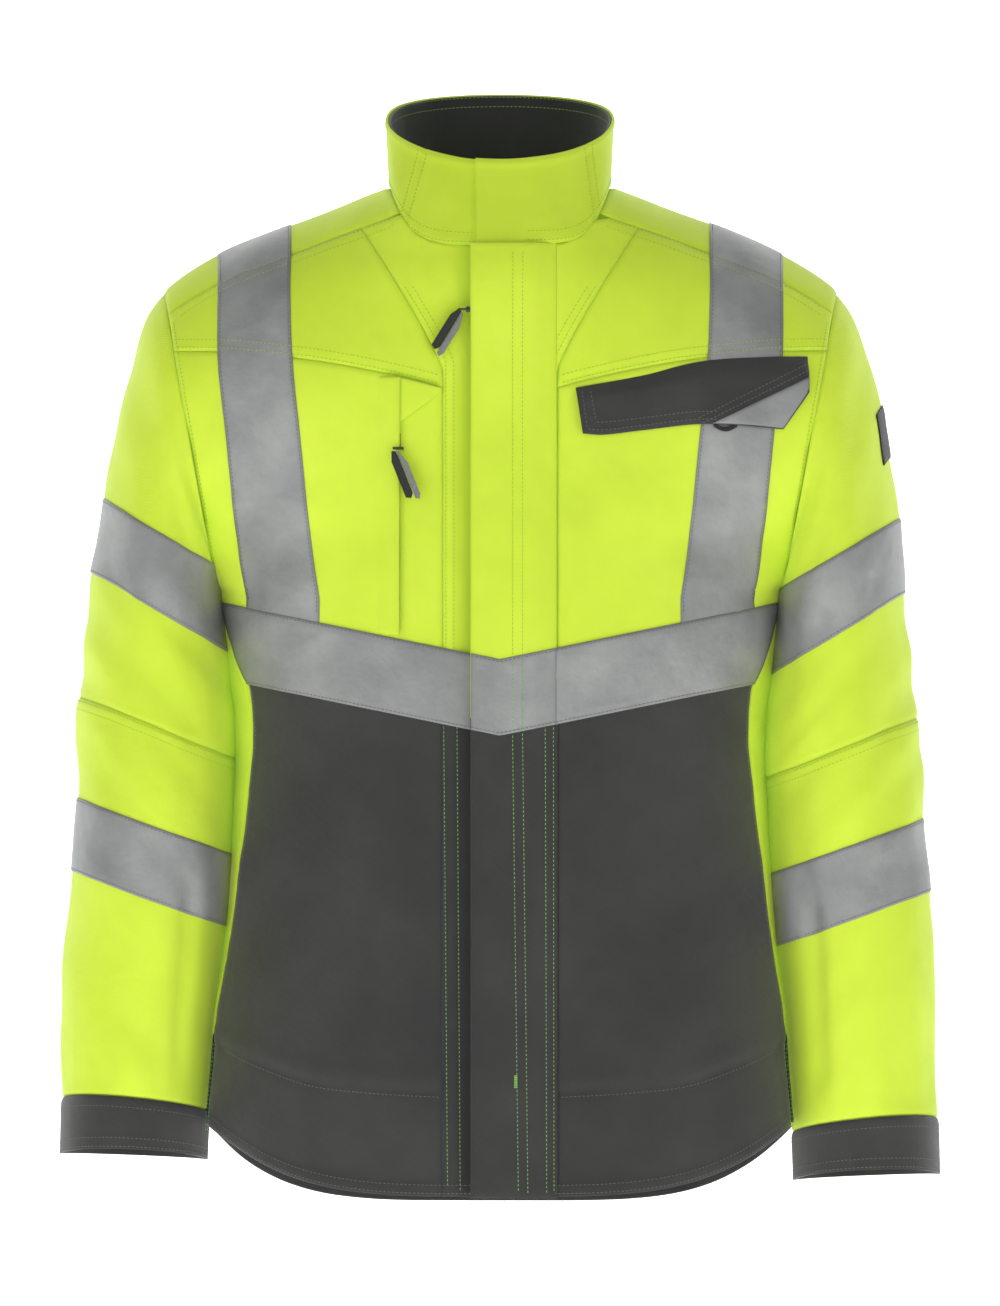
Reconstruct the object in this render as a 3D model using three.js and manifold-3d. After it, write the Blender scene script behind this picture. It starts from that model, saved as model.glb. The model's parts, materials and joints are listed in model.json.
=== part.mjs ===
// High-visibility work jacket, shown as it hangs filled out on a form.
// Millimetres, +Z up, +X towards the wearer's left, the front faces -Y.
// The origin is the middle of the hanger loop inside the back of the neck.
import * as THREE from 'three';
import Module from 'manifold-3d';
import { mergeVertices } from 'three/addons/utils/BufferGeometryUtils.js';

// Overall sizes. A drop is measured down from the hanger loop.
const midPlane = -44;           // Y of the side line that parts the front from the back
const neckHalfWidth = 76;
const neckFrontDrop = 43.5;
const neckSideDrop = 3;
const neckBackRise = 2;
const shoulderHalfWidth = 230;
const shoulderDrop = 75;
const underarmHalfWidth = 195;
const underarmDrop = 278;
const waistHalfWidth = 184;
const waistDrop = 391;
const hemHalfWidth = 205;
const hemDrop = 691;            // front hem, at the middle
const hemRise = 53;             // how far the hem curves up to the sides
const backHemExtra = 8;         // the back hangs lower than the front
const chestDepth = 107;         // middle of the chest, forward of the side line
const hemDepth = 128;
const backDepth = 114;
const armholeDepth = 82;        // half the armhole, front to back
const collarFrontRise = 14;
const collarBackRise = 62;
const sleeveDrop = 589;         // shoulder point down to the cuff's edge
const leftSleeveSag = 14;       // the wearer's left sleeve hangs lower by this
const armGap = 7;               // sleeve to body
const cuffHeight = 38;
const cuffHalfWidth = 44;

// Cloth, tape and fastenings.
const cloth = 2.4;              // shell cloth with its seam allowances
const seamGap = 0.5;            // between two panels that are sewn together
const layerGap = 1.2;           // between a panel and what is sewn on it
const strapGap = 4.4;           // the same where a tape bends over the shoulder
const tapeWidth = 50;
const tapeThick = 1.2;
const chevronFall = 40;         // the chest tape falls this much towards the middle
const yokeSeamDrop = 141;       // at the princess seam
const princessHalfWidth = 39;
const stormFlapFree = -20;      // X of the storm flap's free edge
const stormFlapWidth = 55;
const stormFlapStand = 6.3;     // room under the storm flap for the zip slider
const zipCentre = -3;           // X of the main zip
const zipHalfGap = 9;           // zip centre to the edge of each front
const toothWidth = 3.2;
const toothHeight = 4;
const mainZipDrop = 78;         // top end of the main zip
const mainSliderDrop = 88;
const chestZipX = -71;
const chestZipTop = 150;
const chestZipBottom = 306;
const chestSliderDrop = 182;
const sideLeafTop = 6;          // the side panel starts this far under the armhole
const sideLeafEnd = 54;         // from the leaf's lower tip to the hem at the side
const sideLeafLength = hemDrop - hemRise - sideLeafEnd - underarmDrop - sideLeafTop;

const radians = THREE.MathUtils.degToRad;
const lerp = THREE.MathUtils.lerp;
const clamp = THREE.MathUtils.clamp;
const smooth = (t) => THREE.MathUtils.smoothstep(t, 0, 1);
const squareness = 2.5;         // plan of the body: 2 is an ellipse, more is squarer

// A smooth curve through [at, value] pairs in rising order of at.
function curveThrough(pairs) {
  const slope = (i) => {
    const a = pairs[Math.max(i - 1, 0)];
    const b = pairs[Math.min(i + 1, pairs.length - 1)];
    return (b[1] - a[1]) / (b[0] - a[0]);
  };
  return (at) => {
    const inside = clamp(at, pairs[0][0], pairs[pairs.length - 1][0]);
    let i = 0;
    while (i < pairs.length - 2 && inside > pairs[i + 1][0]) i += 1;
    const [x0, y0] = pairs[i];
    const [x1, y1] = pairs[i + 1];
    const w = x1 - x0;
    const t = (inside - x0) / w;
    const h0 = (1 + 2 * t) * (1 - t) ** 2;
    const h1 = t * (1 - t) ** 2;
    const h2 = t * t * (3 - 2 * t);
    const h3 = t * t * (t - 1);
    return h0 * y0 + h1 * w * slope(i) + h2 * y1 + h3 * w * slope(i + 1);
  };
}

// ---- The body's surface ----

const sideBelowArm = curveThrough([
  [-hemDrop - backHemExtra - 20, hemHalfWidth + 3],
  [-hemDrop + hemRise, hemHalfWidth],
  [-waistDrop, waistHalfWidth],
  [-underarmDrop, underarmHalfWidth],
]);

function halfWidthAt(z) {
  if (z < -underarmDrop) return sideBelowArm(z);
  const up = clamp((z + underarmDrop) / (underarmDrop - shoulderDrop), 0, 1);
  return lerp(underarmHalfWidth, shoulderHalfWidth, up);
}

// The shoulder line, from the neck out to the shoulder point.
function shoulderLine(x) {
  const across = Math.abs(x);
  if (across < neckHalfWidth) {
    return -neckSideDrop + 23 * (1 - (across / neckHalfWidth) ** 2);
  }
  const w = (across - neckHalfWidth) / (shoulderHalfWidth - neckHalfWidth);
  return -neckSideDrop - (shoulderDrop - neckSideDrop) * (0.8 * w + 0.2 * w ** 6);
}

// The armhole is an ellipse that leans with the side of the body. Nearer the neck its top follows the
// shoulder line up.
function armholeReach(x, z) {
  const middle = -(shoulderDrop + underarmDrop) / 2;
  const half = (underarmDrop - shoulderDrop) / 2;
  const up = clamp((z + underarmDrop) / (underarmDrop - shoulderDrop), 0, 1);
  const off = (z - (shoulderLine(x) + shoulderDrop) * up - middle) / half;
  return Math.abs(off) < 1 ? armholeDepth * Math.sqrt(1 - off * off) : 0;
}

function roundOver(x, z, length) {
  const down = clamp((shoulderLine(x) - z) / length, 0, 1);
  return Math.sqrt(1 - (1 - down) ** 2);
}

const straightFrom = -70;       // below this the middle of the front is a straight line
const frontProfile = curveThrough([
  [straightFrom - 30, chestDepth + 1],
  [straightFrom, chestDepth],
  [-57, chestDepth - 1.5],
  [-neckFrontDrop, chestDepth - 4.3],
  [0, chestDepth - 4.3],
]);

function frontDepthAt(z) {
  if (z > straightFrom) return frontProfile(z);
  return lerp(chestDepth, hemDepth, (straightFrom - z) / (straightFrom + hemDrop));
}

const backProfile = curveThrough([
  [-hemDrop - backHemExtra - 20, backDepth],
  [-waistDrop - 60, backDepth - 14],
  [-underarmDrop, backDepth - 4],
  [-shoulderDrop - 60, backDepth + 4],
  [20, backDepth - 8],
]);

// Y of the cloth's middle layer at (x, z), on the front or the back.
function bodyY(x, z, back) {
  const across = Math.min(Math.abs(x) / halfWidthAt(z), 1);
  const eased = lerp(smooth((z + underarmDrop) / 45), 1, across ** 5);
  const armhole = armholeReach(x, z) * eased;
  const depth = back
    ? backProfile(z) * roundOver(x, z, 110)
    : frontDepthAt(z) * Math.min(1, roundOver(x, z, 130) / roundOver(0, z, 130));
  const open = smooth((z + underarmDrop) / 78);
  const power = lerp(1 / squareness, 1, open);
  const turn = (1 - across ** squareness) ** power;
  const reach = armhole + (depth - armhole) * turn;
  return midPlane + (back ? reach : -reach);
}

const onSheet = (back) => (x, z) => new THREE.Vector3(x, bodyY(x, z, back), z);
const frontSheet = onSheet(false);
const backSheet = onSheet(true);

// The same surface by angle round the body: 0 is the middle of the front, 90 the wearer's left side.
function bodyAround(angle, z) {
  const turn = radians(angle);
  const x = halfWidthAt(z) * Math.sign(Math.sin(turn)) * Math.abs(Math.sin(turn)) ** (2 / squareness);
  return new THREE.Vector3(x, bodyY(x, z, Math.cos(turn) < 0), z);
}

// ---- Sleeves ----
// Each section of a sleeve runs from an outer point to an inner point. They start on the armhole and fan
// out round the underarm. side is -1 for the wearer's right and 1 for the left; along runs from 0 to 1.

const outerReach = curveThrough([
  [0, 0], [0.03, 12], [0.08, 22], [0.15, 32], [0.24, 41], [0.32, 47],
  [0.47, 54], [0.67, 64], [0.93, 69], [1, 70],
]);
const innerDrop = curveThrough([
  [0, 0], [0.13, 0.02], [0.24, 0.06], [0.32, 0.115], [0.47, 0.285], [0.67, 0.58], [0.93, 0.91], [1, 1],
]);
const sleeveDepth = curveThrough([
  [0, armholeDepth], [0.08, armholeDepth + 1], [0.24, armholeDepth - 2],
  [0.47, armholeDepth - 9], [0.67, armholeDepth - 17], [0.93, cuffHalfWidth + 5], [1, cuffHalfWidth + 3],
]);

function sleeveSection(side, along) {
  const sag = side > 0 ? leftSleeveSag * smooth(along / 0.24) : 0;
  const outer = new THREE.Vector2(
    shoulderHalfWidth + outerReach(along),
    -shoulderDrop - sleeveDrop * along - sag,
  );
  const innerEnd = shoulderDrop + sleeveDrop + 4;
  const innerZ = -underarmDrop - (innerEnd - underarmDrop) * innerDrop(along) - sag;
  const bodySide = halfWidthAt(Math.min(innerZ, -underarmDrop));
  const inner = new THREE.Vector2(bodySide + armGap * smooth(along / 0.08), innerZ);
  return { outer, inner, depth: sleeveDepth(along), y: midPlane - 26 * smooth(along) };
}

// Round the sleeve: 0 is the outer side, 90 the front, 180 the inner side.
const sleeveSheet = (side) => (angle, along) => {
  const section = sleeveSection(side, along);
  const a = radians(angle);
  const middle = section.outer.clone().add(section.inner).multiplyScalar(0.5);
  const arm = section.outer.clone().sub(section.inner).multiplyScalar(0.5 * Math.cos(a));
  return new THREE.Vector3(
    side * (middle.x + arm.x),
    section.y - section.depth * Math.sin(a),
    middle.y + arm.y,
  );
};

function sleeveMiddle(side, along) {
  const section = sleeveSection(side, along);
  return new THREE.Vector3(
    side * (section.outer.x + section.inner.x) / 2,
    section.y,
    (section.outer.y + section.inner.y) / 2,
  );
}

// How far along the sleeve, at this angle, the cloth crosses a sloping cut.
function alongAtCut(side, angle, cut) {
  let low = 0;
  let high = 1;
  for (let i = 0; i < 24; i += 1) {
    const middle = (low + high) / 2;
    const p = sleeveSheet(side)(angle, middle);
    const line = cut.outerZ - cut.slope * (cut.outerX - Math.abs(p.x));
    if (p.z > line) low = middle;
    else high = middle;
  }
  return (low + high) / 2;
}

// A cut across the sleeve that starts at this share of its length on the outer side.
function sleeveCut(side, along, slope) {
  const section = sleeveSection(side, along);
  return { outerX: section.outer.x, outerZ: section.outer.y, slope };
}

// ---- Neck and collar ----

function neckFront(x) {
  return -neckFrontDrop + (neckFrontDrop - neckSideDrop) * (Math.abs(x) / neckHalfWidth) ** 6;
}

function neckBack(x) {
  return neckBackRise - (neckBackRise + neckSideDrop) * (x / neckHalfWidth) ** 2;
}

// Round the collar: 0 is the front, 90 the wearer's left; up runs from the neck seam to the rim.
function collarSheet(angle, up) {
  const a = radians(angle);
  const back = Math.cos(a) < 0;
  const x = neckHalfWidth * Math.sin(a);
  const z = back ? neckBack(x) : neckFront(x);
  const base = new THREE.Vector3(x, bodyY(x, z, back), z);
  const rimMiddle = (collarFrontRise + collarBackRise) / 2;
  const rim = new THREE.Vector3(
    (neckHalfWidth + 2) * Math.sin(a),
    midPlane - 13 - 66 * Math.cos(a),
    rimMiddle - (collarBackRise - collarFrontRise) / 2 * Math.cos(a) + 6 * Math.sin(a) ** 2,
  );
  return base.lerp(rim, up);
}
const collarMiddle = new THREE.Vector3(0, midPlane - 13, 20);

// ---- Turning sheets into solids ----

// The point that stands off from a sheet, along its outward normal.
function standOff(sheet, a, b, off, middle) {
  const step = 0.002;
  const along = sheet(a + step, b).sub(sheet(a - step, b));
  const up = sheet(a, b + step).sub(sheet(a, b - step));
  const point = sheet(a, b);
  const normal = along.cross(up).normalize();
  if (normal.dot(point.clone().sub(middle)) < 0) normal.negate();
  return point.addScaledVector(normal, off);
}
const bodyMiddle = new THREE.Vector3(0, midPlane, -250);

function closedSolid(geometry) {
  geometry.deleteAttribute('normal');
  geometry.deleteAttribute('uv');
  const merged = mergeVertices(geometry, 1e-4);
  const p = merged.attributes.position;
  const index = merged.index.array;
  const corner = (i) => new THREE.Vector3().fromBufferAttribute(p, index[i]);
  let volume = 0;
  for (let i = 0; i < index.length; i += 3) {
    volume += corner(i).dot(corner(i + 1).cross(corner(i + 2)));
  }
  if (volume < 0) {
    for (let i = 0; i < index.length; i += 3) {
      [index[i], index[i + 1]] = [index[i + 1], index[i]];
    }
  }
  merged.computeVertexNormals();
  return merged;
}

function reshape(geometry, place) {
  const p = geometry.attributes.position;
  for (let i = 0; i < p.count; i += 1) {
    const point = place(p.getX(i), p.getY(i), p.getZ(i));
    p.setXYZ(i, point.x, point.y, point.z);
  }
  return closedSolid(geometry);
}

// A panel of cloth: at(u, v) gives the sheet's two coordinates, layer(u, v) its inner and outer faces.
function panel(at, sheet, middle, segments, layer) {
  const box = new THREE.BoxGeometry(1, 1, 1, segments[0], segments[1], 1);
  const faces = layer ?? (() => [-cloth / 2, cloth / 2]);
  return reshape(box, (x, y, z) => {
    const u = x + 0.5;
    const v = y + 0.5;
    const [a, b] = at(u, v);
    const [inner, outer] = faces(u, v);
    return standOff(sheet, a, b, z > 0 ? outer : inner, middle);
  });
}

// A tube of cloth: at(angle, v) gives the sheet's coordinates, middleAt(v) a point inside it.
function tube(at, sheet, middleAt, segments, faces) {
  const rows = [];
  for (let i = 0; i <= segments[1]; i += 1) rows.push(new THREE.Vector2(2, i / segments[1]));
  for (let i = segments[1]; i >= 0; i -= 1) rows.push(new THREE.Vector2(1, i / segments[1]));
  rows.push(rows[0].clone());
  const ring = new THREE.LatheGeometry(rows, segments[0]);
  const [inner, outer] = faces ?? [-cloth / 2, cloth / 2];
  return reshape(ring, (x, y, z) => {
    const angle = THREE.MathUtils.radToDeg(Math.atan2(x, z));
    const [a, b] = at(angle, y);
    const off = Math.hypot(x, z) > 1.5 ? outer : inner;
    return standOff(sheet, a, b, off, middleAt(b));
  });
}

// A patch between four edges, each a function from 0 to 1.
function patch(bottom, top, inner, outer) {
  return (u, v) => [0, 1].map((k) => {
    const across = lerp(inner(v)[k], outer(v)[k], u);
    const up = lerp(bottom(u)[k], top(u)[k], v);
    const low = lerp(inner(0)[k], outer(0)[k], u);
    const high = lerp(inner(1)[k], outer(1)[k], u);
    return across + up - lerp(low, high, v);
  });
}

const mirrored = (at, side) => (u, v) => {
  const [x, z] = at(u, v);
  return [side * x, z];
};

// ---- Seams, given on the wearer's left and mirrored for the right ----

const armEdge = (z) => halfWidthAt(z) - seamGap;
const forwardStart = 69;        // X where the forward shoulder seam leaves the neck
const forwardStartDrop = shoulderLine(forwardStart) - neckFront(forwardStart);
const forwardArmDrop = 15;
const backStart = 60;
const backStartDrop = shoulderLine(backStart) - neckBack(backStart);
const backArmDrop = 22;

function shoulderSeam(x, start, startDrop, armDrop) {
  const endZ = -shoulderDrop - armDrop;
  const endX = armEdge(endZ);
  const w = clamp((Math.abs(x) - start) / (endX - start), 0, 1);
  return shoulderLine(x) - lerp(startDrop, shoulderLine(endX) - endZ, w);
}
const forwardSeam = (x) => shoulderSeam(x, forwardStart, forwardStartDrop, forwardArmDrop);
const backYokeSeam = (x) => shoulderSeam(x, backStart, backStartDrop, backArmDrop);

const princessTop = 95;
function princessX(z) {
  const top = forwardSeam(princessTop);
  const up = clamp((z + yokeSeamDrop - 12) / (top + yokeSeamDrop - 12), 0, 1);
  return princessHalfWidth + (princessTop - princessHalfWidth) * up ** 1.15;
}

function yokeSeam(x) {
  const w = clamp((x - princessHalfWidth) / (shoulderHalfWidth - 6 - princessHalfWidth), 0, 1);
  return -yokeSeamDrop + 26 * (1 - (1 - w) ** 2);
}

const tapeSideDrop = underarmDrop + 8;
const tapeTop = (x) => -tapeSideDrop - chevronFall * (1 - Math.abs(x) / underarmHalfWidth);
const tapeBottom = (x) => tapeTop(x) - tapeWidth - 2;
const colourSeam = (x) => tapeBottom(x) + 8;
const backTapeTop = -tapeSideDrop;
const backColourSeam = backTapeTop - tapeWidth + 8;

const hemFront = (x) => -hemDrop + hemRise * Math.min(Math.abs(x) / hemHalfWidth, 1.02) ** 3.8;
const hemBack = (x) => -hemDrop - backHemExtra
  + (hemRise + backHemExtra) * Math.min(Math.abs(x) / hemHalfWidth, 1.02) ** 4.5;

// The side panel is a leaf from under the armhole to a point at the side seam.
const leafTopZ = -underarmDrop - sideLeafTop;
const sideSeamAngle = 76;
const leafFront = curveThrough([[0, 84], [0.18, 65], [0.43, 66], [0.8, 73], [1, sideSeamAngle]]);
const leafBack = curveThrough([[0, 96], [0.18, 115], [0.43, 112], [0.8, 93], [1, sideSeamAngle + 1.2]]);
const leafShare = (z) => clamp((leafTopZ - z) / sideLeafLength, 0, 1);
const xAtAngle = (angle, z) => Math.abs(bodyAround(angle, z).x);
const frontSideX = (z) => (z > leafTopZ ? armEdge(z) : xAtAngle(leafFront(leafShare(z)), z) - seamGap);

// The height on one of these seams at which it meets an upright edge.
function meet(seam, edge, from) {
  let z = from;
  for (let i = 0; i < 30; i += 1) z = seam(edge(z));
  return z;
}

const forwardEndZ = meet(forwardSeam, armEdge, -shoulderDrop - forwardArmDrop);
const yokeEndZ = meet(yokeSeam, armEdge, -115);
const colourEndZ = meet(colourSeam, frontSideX, -tapeSideDrop - tapeWidth);

// ---- The parts ----

const jacket = new THREE.Group();
const yellow = { color: 0xc8f032, roughness: 0.75, metalness: 0 };
const dark = { color: 0x3c3c3a, roughness: 0.7, metalness: 0 };
const reflective = { color: 0x8f9294, roughness: 0.45, metalness: 0.2 };
const black = { color: 0x1b1b1c, roughness: 0.5, metalness: 0 };
const grey = { color: 0x7c7f82, roughness: 0.5, metalness: 0 };
const metal = { color: 0x55585a, roughness: 0.35, metalness: 0.9 };

function add(name, geometry, finish) {
  const mesh = new THREE.Mesh(geometry, new THREE.MeshStandardMaterial(finish));
  mesh.name = name;
  jacket.add(mesh);
  return mesh;
}

const sides = [['right', -1], ['left', 1]];
const onCloth = () => [cloth / 2 + layerGap, cloth / 2 + layerGap + tapeThick];
const overYoke = () => [cloth / 2 + strapGap, cloth / 2 + strapGap + tapeThick];

function frontPanel(name, side, at, segments, finish, layer) {
  add(name, panel(mirrored(at, side), frontSheet, bodyMiddle, segments, layer), finish);
}

// The shoulder yoke saddles the shoulder line; v runs from the forward seam over to the back yoke seam.
function shoulderYoke(side) {
  const surface = (u, v) => {
    const over = 2 * v - 1;
    const back = over > 0;
    const neckX = neckHalfWidth - (neckHalfWidth - (back ? backStart : forwardStart)) * over ** 2;
    const neckZ = back ? neckBack(neckX) : neckFront(neckX);
    const armZ = -shoulderDrop - (back ? backArmDrop : forwardArmDrop) * over ** 2;
    const armX = armEdge(armZ);
    const x = lerp(neckX, armX, u);
    const drop = lerp(shoulderLine(neckX) - neckZ, shoulderLine(armX) - armZ, u);
    const z = shoulderLine(x) - Math.max(drop - 2 * seamGap * over ** 4, 0);
    return new THREE.Vector3(side * x, bodyY(x, z, back), z);
  };
  return panel((u, v) => [u, v], surface, bodyMiddle, [9, 12]);
}

const zipEdge = (side) => side * zipCentre + zipHalfGap;
for (const [name, side] of sides) {
  const inner = zipEdge(side);
  add(`${name}_shoulder_yoke`, shoulderYoke(side), yellow);

  const frontYoke = patch(
    (u) => {
      const x = lerp(princessHalfWidth + seamGap, armEdge(yokeEndZ), u);
      return [x, yokeSeam(x) + seamGap];
    },
    (u) => {
      const x = lerp(princessTop + seamGap, armEdge(forwardEndZ), u);
      return [x, forwardSeam(x) - seamGap];
    },
    (v) => {
      const z = lerp(-yokeSeamDrop, forwardSeam(princessTop), v);
      return [princessX(z) + seamGap, z];
    },
    (v) => {
      const z = lerp(yokeEndZ, forwardEndZ, v);
      return [armEdge(z), z];
    },
  );
  frontPanel(`${name}_front_yoke`, side, frontYoke, [7, 8], yellow);

  const topZ = (x) => (x < forwardStart ? neckFront(x) : forwardSeam(x)) - seamGap;
  const centreFront = (u, v) => {
    const share = 6 / 14;       // rows below the yoke seam; the rest match the front yoke's
    const low = colourSeam(lerp(inner, princessHalfWidth, u)) + seamGap;
    const upper = (v - share) / (1 - share);
    const z = v < share
      ? lerp(low, -yokeSeamDrop, v / share)
      : lerp(-yokeSeamDrop, topZ(lerp(inner, princessTop, u)), upper);
    const edgeZ = lerp(-yokeSeamDrop, forwardSeam(princessTop), Math.max(upper, 0));
    return [lerp(inner, princessX(edgeZ) - seamGap, u), z];
  };
  frontPanel(`${name}_centre_front`, side, centreFront, [6, 14], yellow);

  const chestPanel = patch(
    (u) => {
      const x = lerp(princessHalfWidth + seamGap, frontSideX(colourEndZ), u);
      return [x, colourSeam(x) + seamGap];
    },
    (u) => {
      const x = lerp(princessHalfWidth + seamGap, armEdge(yokeEndZ), u);
      return [x, yokeSeam(x) - seamGap];
    },
    (v) => {
      const z = lerp(colourSeam(princessHalfWidth), -yokeSeamDrop, v);
      return [princessHalfWidth + seamGap, z];
    },
    (v) => {
      const z = lerp(colourEndZ, yokeEndZ, v);
      return [frontSideX(z), z];
    },
  );
  frontPanel(`${name}_chest_panel`, side, chestPanel, [8, 10], yellow);

  const band = (u, v) => {
    const x = lerp(inner, princessHalfWidth - seamGap, u);
    return [x, lerp(hemFront(x), colourSeam(x) - seamGap, v)];
  };
  frontPanel(`${name}_front_band`, side, band, [2, 8], dark);

  const sideHemX = xAtAngle(sideSeamAngle, -hemDrop + hemRise) - seamGap;
  const lowerFront = patch(
    (u) => {
      const x = lerp(princessHalfWidth + seamGap, sideHemX, u);
      return [x, hemFront(x)];
    },
    (u) => {
      const x = lerp(princessHalfWidth + seamGap, frontSideX(colourEndZ), u);
      return [x, colourSeam(x) - seamGap];
    },
    (v) => {
      const x = princessHalfWidth + seamGap;
      return [x, lerp(hemFront(x), colourSeam(x), v)];
    },
    (v) => {
      const z = lerp(hemFront(sideHemX), colourEndZ, v);
      return [frontSideX(z), z];
    },
  );
  frontPanel(`${name}_lower_front`, side, lowerFront, [8, 9], dark);

  const leaf = (u, v) => {
    const start = 0.985;
    const share = lerp(start, 0.02, v);
    const z = leafTopZ - sideLeafLength * share;
    return [side * lerp(leafFront(share) + 0.25, leafBack(share) - 0.5, u), z];
  };
  add(`${name}_side_panel`, panel(leaf, bodyAround, bodyMiddle, [6, 12]), yellow);

  const chestTape = (u, v) => {
    const start = side < 0 ? -stormFlapFree + seamGap : stormFlapFree + stormFlapWidth + seamGap;
    const low = meet(tapeBottom, frontSideX, -tapeSideDrop - tapeWidth);
    const high = meet(tapeTop, frontSideX, -tapeSideDrop);
    const end = lerp(frontSideX(low), frontSideX(high) - 2, v);
    const x = lerp(start, end, u);
    return [x, lerp(tapeBottom(x), tapeTop(x), v)];
  };
  frontPanel(`${name}_chest_tape`, side, chestTape, [16, 1], reflective, onCloth);

  const tapeShoulderX = 168;
  const tapeMiddle = curveThrough([
    [-tapeSideDrop, 148],
    [-tapeSideDrop + 40, 154],
    [-underarmDrop + 100, 161],
    [-yokeSeamDrop + 23, tapeShoulderX - 1],
    [-40, tapeShoulderX],
  ]);
  const overShoulder = (back) => (u, v) => {
    const low = back ? backTapeTop : tapeTop(tapeMiddle(-tapeSideDrop));
    const left = (1 - v) ** 1.6;
    const middle = tapeMiddle(low + (shoulderLine(tapeShoulderX) - low) * (1 - left));
    const x = middle + lerp(-tapeWidth / 2, tapeWidth / 2, u);
    return [x, shoulderLine(x) - (shoulderLine(x) - low - seamGap) * left];
  };
  const strap = (back) => {
    const at = overShoulder(back);
    const surface = (u, v) => {
      const [x, z] = at(u, Math.min(v, 0.985));
      return new THREE.Vector3(side * x, bodyY(x, z, back), z);
    };
    return panel((u, v) => [u, v * 0.98], surface, bodyMiddle, [3, 20], overYoke);
  };
  add(`${name}_shoulder_tape`, strap(false), reflective);
  add(`${name}_back_strap_tape`, strap(true), reflective);
}

// ---- Back ----

const sideAngleAt = (z) => (z > leafTopZ - sideLeafLength ? leafBack(leafShare(z)) : sideSeamAngle + 1.2);
const backEdgeX = (z) => (z > leafTopZ ? armEdge(z) : xAtAngle(leafBack(leafShare(z)), z) - seamGap);
const backTopEndZ = -shoulderDrop - backArmDrop;
const backUpper = (u, v) => {
  const w = 2 * u - 1;
  const endX = armEdge(backTopEndZ);
  const topX = endX * w;
  const topZ = (Math.abs(topX) < backStart ? neckBack(topX) : backYokeSeam(topX)) - seamGap;
  const rise = 1 - (1 - v) ** 1.6;
  const z = lerp(backColourSeam + seamGap, topZ, rise);
  const edgeZ = lerp(backColourSeam + seamGap, backTopEndZ, rise);
  return [backEdgeX(edgeZ) * w, z];
};
add('back_upper', panel(backUpper, backSheet, bodyMiddle, [18, 14]), yellow);

const backLower = (u, v) => {
  const high = backColourSeam - seamGap;
  const low = -hemDrop + hemRise - 4;
  const edgeZ = lerp(low, high, v);
  const angle = lerp(sideAngleAt(edgeZ) + 0.9, 360 - sideAngleAt(edgeZ) - 0.9, u);
  const x = bodyAround(angle, low).x;
  const bottom = angle > 90 && angle < 270 ? hemBack(x) : low;
  return [angle, lerp(bottom, high, v)];
};
add('back_lower', panel(backLower, bodyAround, bodyMiddle, [22, 9]), dark);

const backTape = (u, v) => {
  const z = lerp(backTapeTop - tapeWidth, backTapeTop, v);
  return [(backEdgeX(z) - 2) * (2 * u - 1), z];
};
add('back_tape', panel(backTape, backSheet, bodyMiddle, [20, 1], overYoke), reflective);

// ---- Collar ----

const collarLap = 3.4;          // the left end of the collar lies over the right end by this
const lapAngle = (x) => THREE.MathUtils.radToDeg(Math.asin(x / neckHalfWidth));
const collarPiece = (from, to, layer) => panel(
  (u, v) => [lerp(from, to, u), lerp(0.07, 1, v)],
  collarSheet,
  collarMiddle,
  [18, 3],
  layer,
);
const lapEnd = lapAngle(15);
const lapStart = lapAngle(-18);
add('right_collar', collarPiece(-179.6, lapEnd), yellow);
const lapLayer = (u) => {
  const angle = lerp(lapStart, 179.6, u);
  const lift = collarLap * (1 - smooth((angle - lapEnd - 4) / 40));
  return [lift - cloth / 2, lift + cloth / 2];
};
add('left_collar', collarPiece(lapStart, 179.6, lapLayer), yellow);
const lining = () => [-cloth / 2 - 2.4, -cloth / 2 - layerGap];
add('collar_lining', panel(
  (u, v) => [lerp(14, 346, u), lerp(0.09, 0.98, v)],
  collarSheet,
  collarMiddle,
  [32, 2],
  lining,
), dark);

// The hanger loop is a strap that bows away from the back of the collar's lining.
const loopHalf = 32;
const loopHeight = 8;
const loopThick = 1.6;
const loopOutline = new THREE.Shape();
const loopEndY = bodyY(loopHalf, neckBack(loopHalf), true) - cloth / 2 - loopThick / 2 - 0.8;
const loopEdge = (x, side) => side * loopThick / 2 + loopEndY * (x / loopHalf) ** 4;
const loopSteps = 16;
for (let i = 0; i <= 2 * loopSteps + 1; i += 1) {
  const outward = i <= loopSteps;
  const share = outward ? i / loopSteps : (2 * loopSteps + 1 - i) / loopSteps;
  const x = lerp(-loopHalf, loopHalf, share);
  loopOutline[i === 0 ? 'moveTo' : 'lineTo'](x, loopEdge(x, outward ? 1 : -1));
}
loopOutline.closePath();
const loopBand = new THREE.ExtrudeGeometry(loopOutline, { depth: loopHeight, bevelEnabled: false });
add('hanger_loop', reshape(loopBand, (x, y, z) => new THREE.Vector3(x, y, z - loopHeight / 2)), dark);

// ---- Storm flap ----

const stormFlapSewn = stormFlapFree + stormFlapWidth;
const flapLayer = (low, thick) => (x) => {
  const lift = lerp(cloth / 2 + layerGap, stormFlapStand, smooth((stormFlapSewn - x) / 11));
  return [lift + low, lift + low + thick];
};
function stormPiece(name, bottomZ, topZ, rows, finish, layerAt, inset = 0) {
  const at = (u, v) => {
    const x = lerp(stormFlapFree + inset, stormFlapSewn - inset, u);
    return [x, lerp(bottomZ(x), topZ(x), v)];
  };
  const layer = (u) => layerAt(lerp(stormFlapFree + inset, stormFlapSewn - inset, u));
  add(name, panel(at, frontSheet, bodyMiddle, [6, rows], layer), finish);
}
const flapTopZ = () => -neckFrontDrop - 5;
stormPiece('storm_flap_upper', (x) => colourSeam(x) + seamGap, flapTopZ, 10, yellow, flapLayer(0, cloth));
const flapLowEdge = (x) => hemFront(x) - 1;
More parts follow.
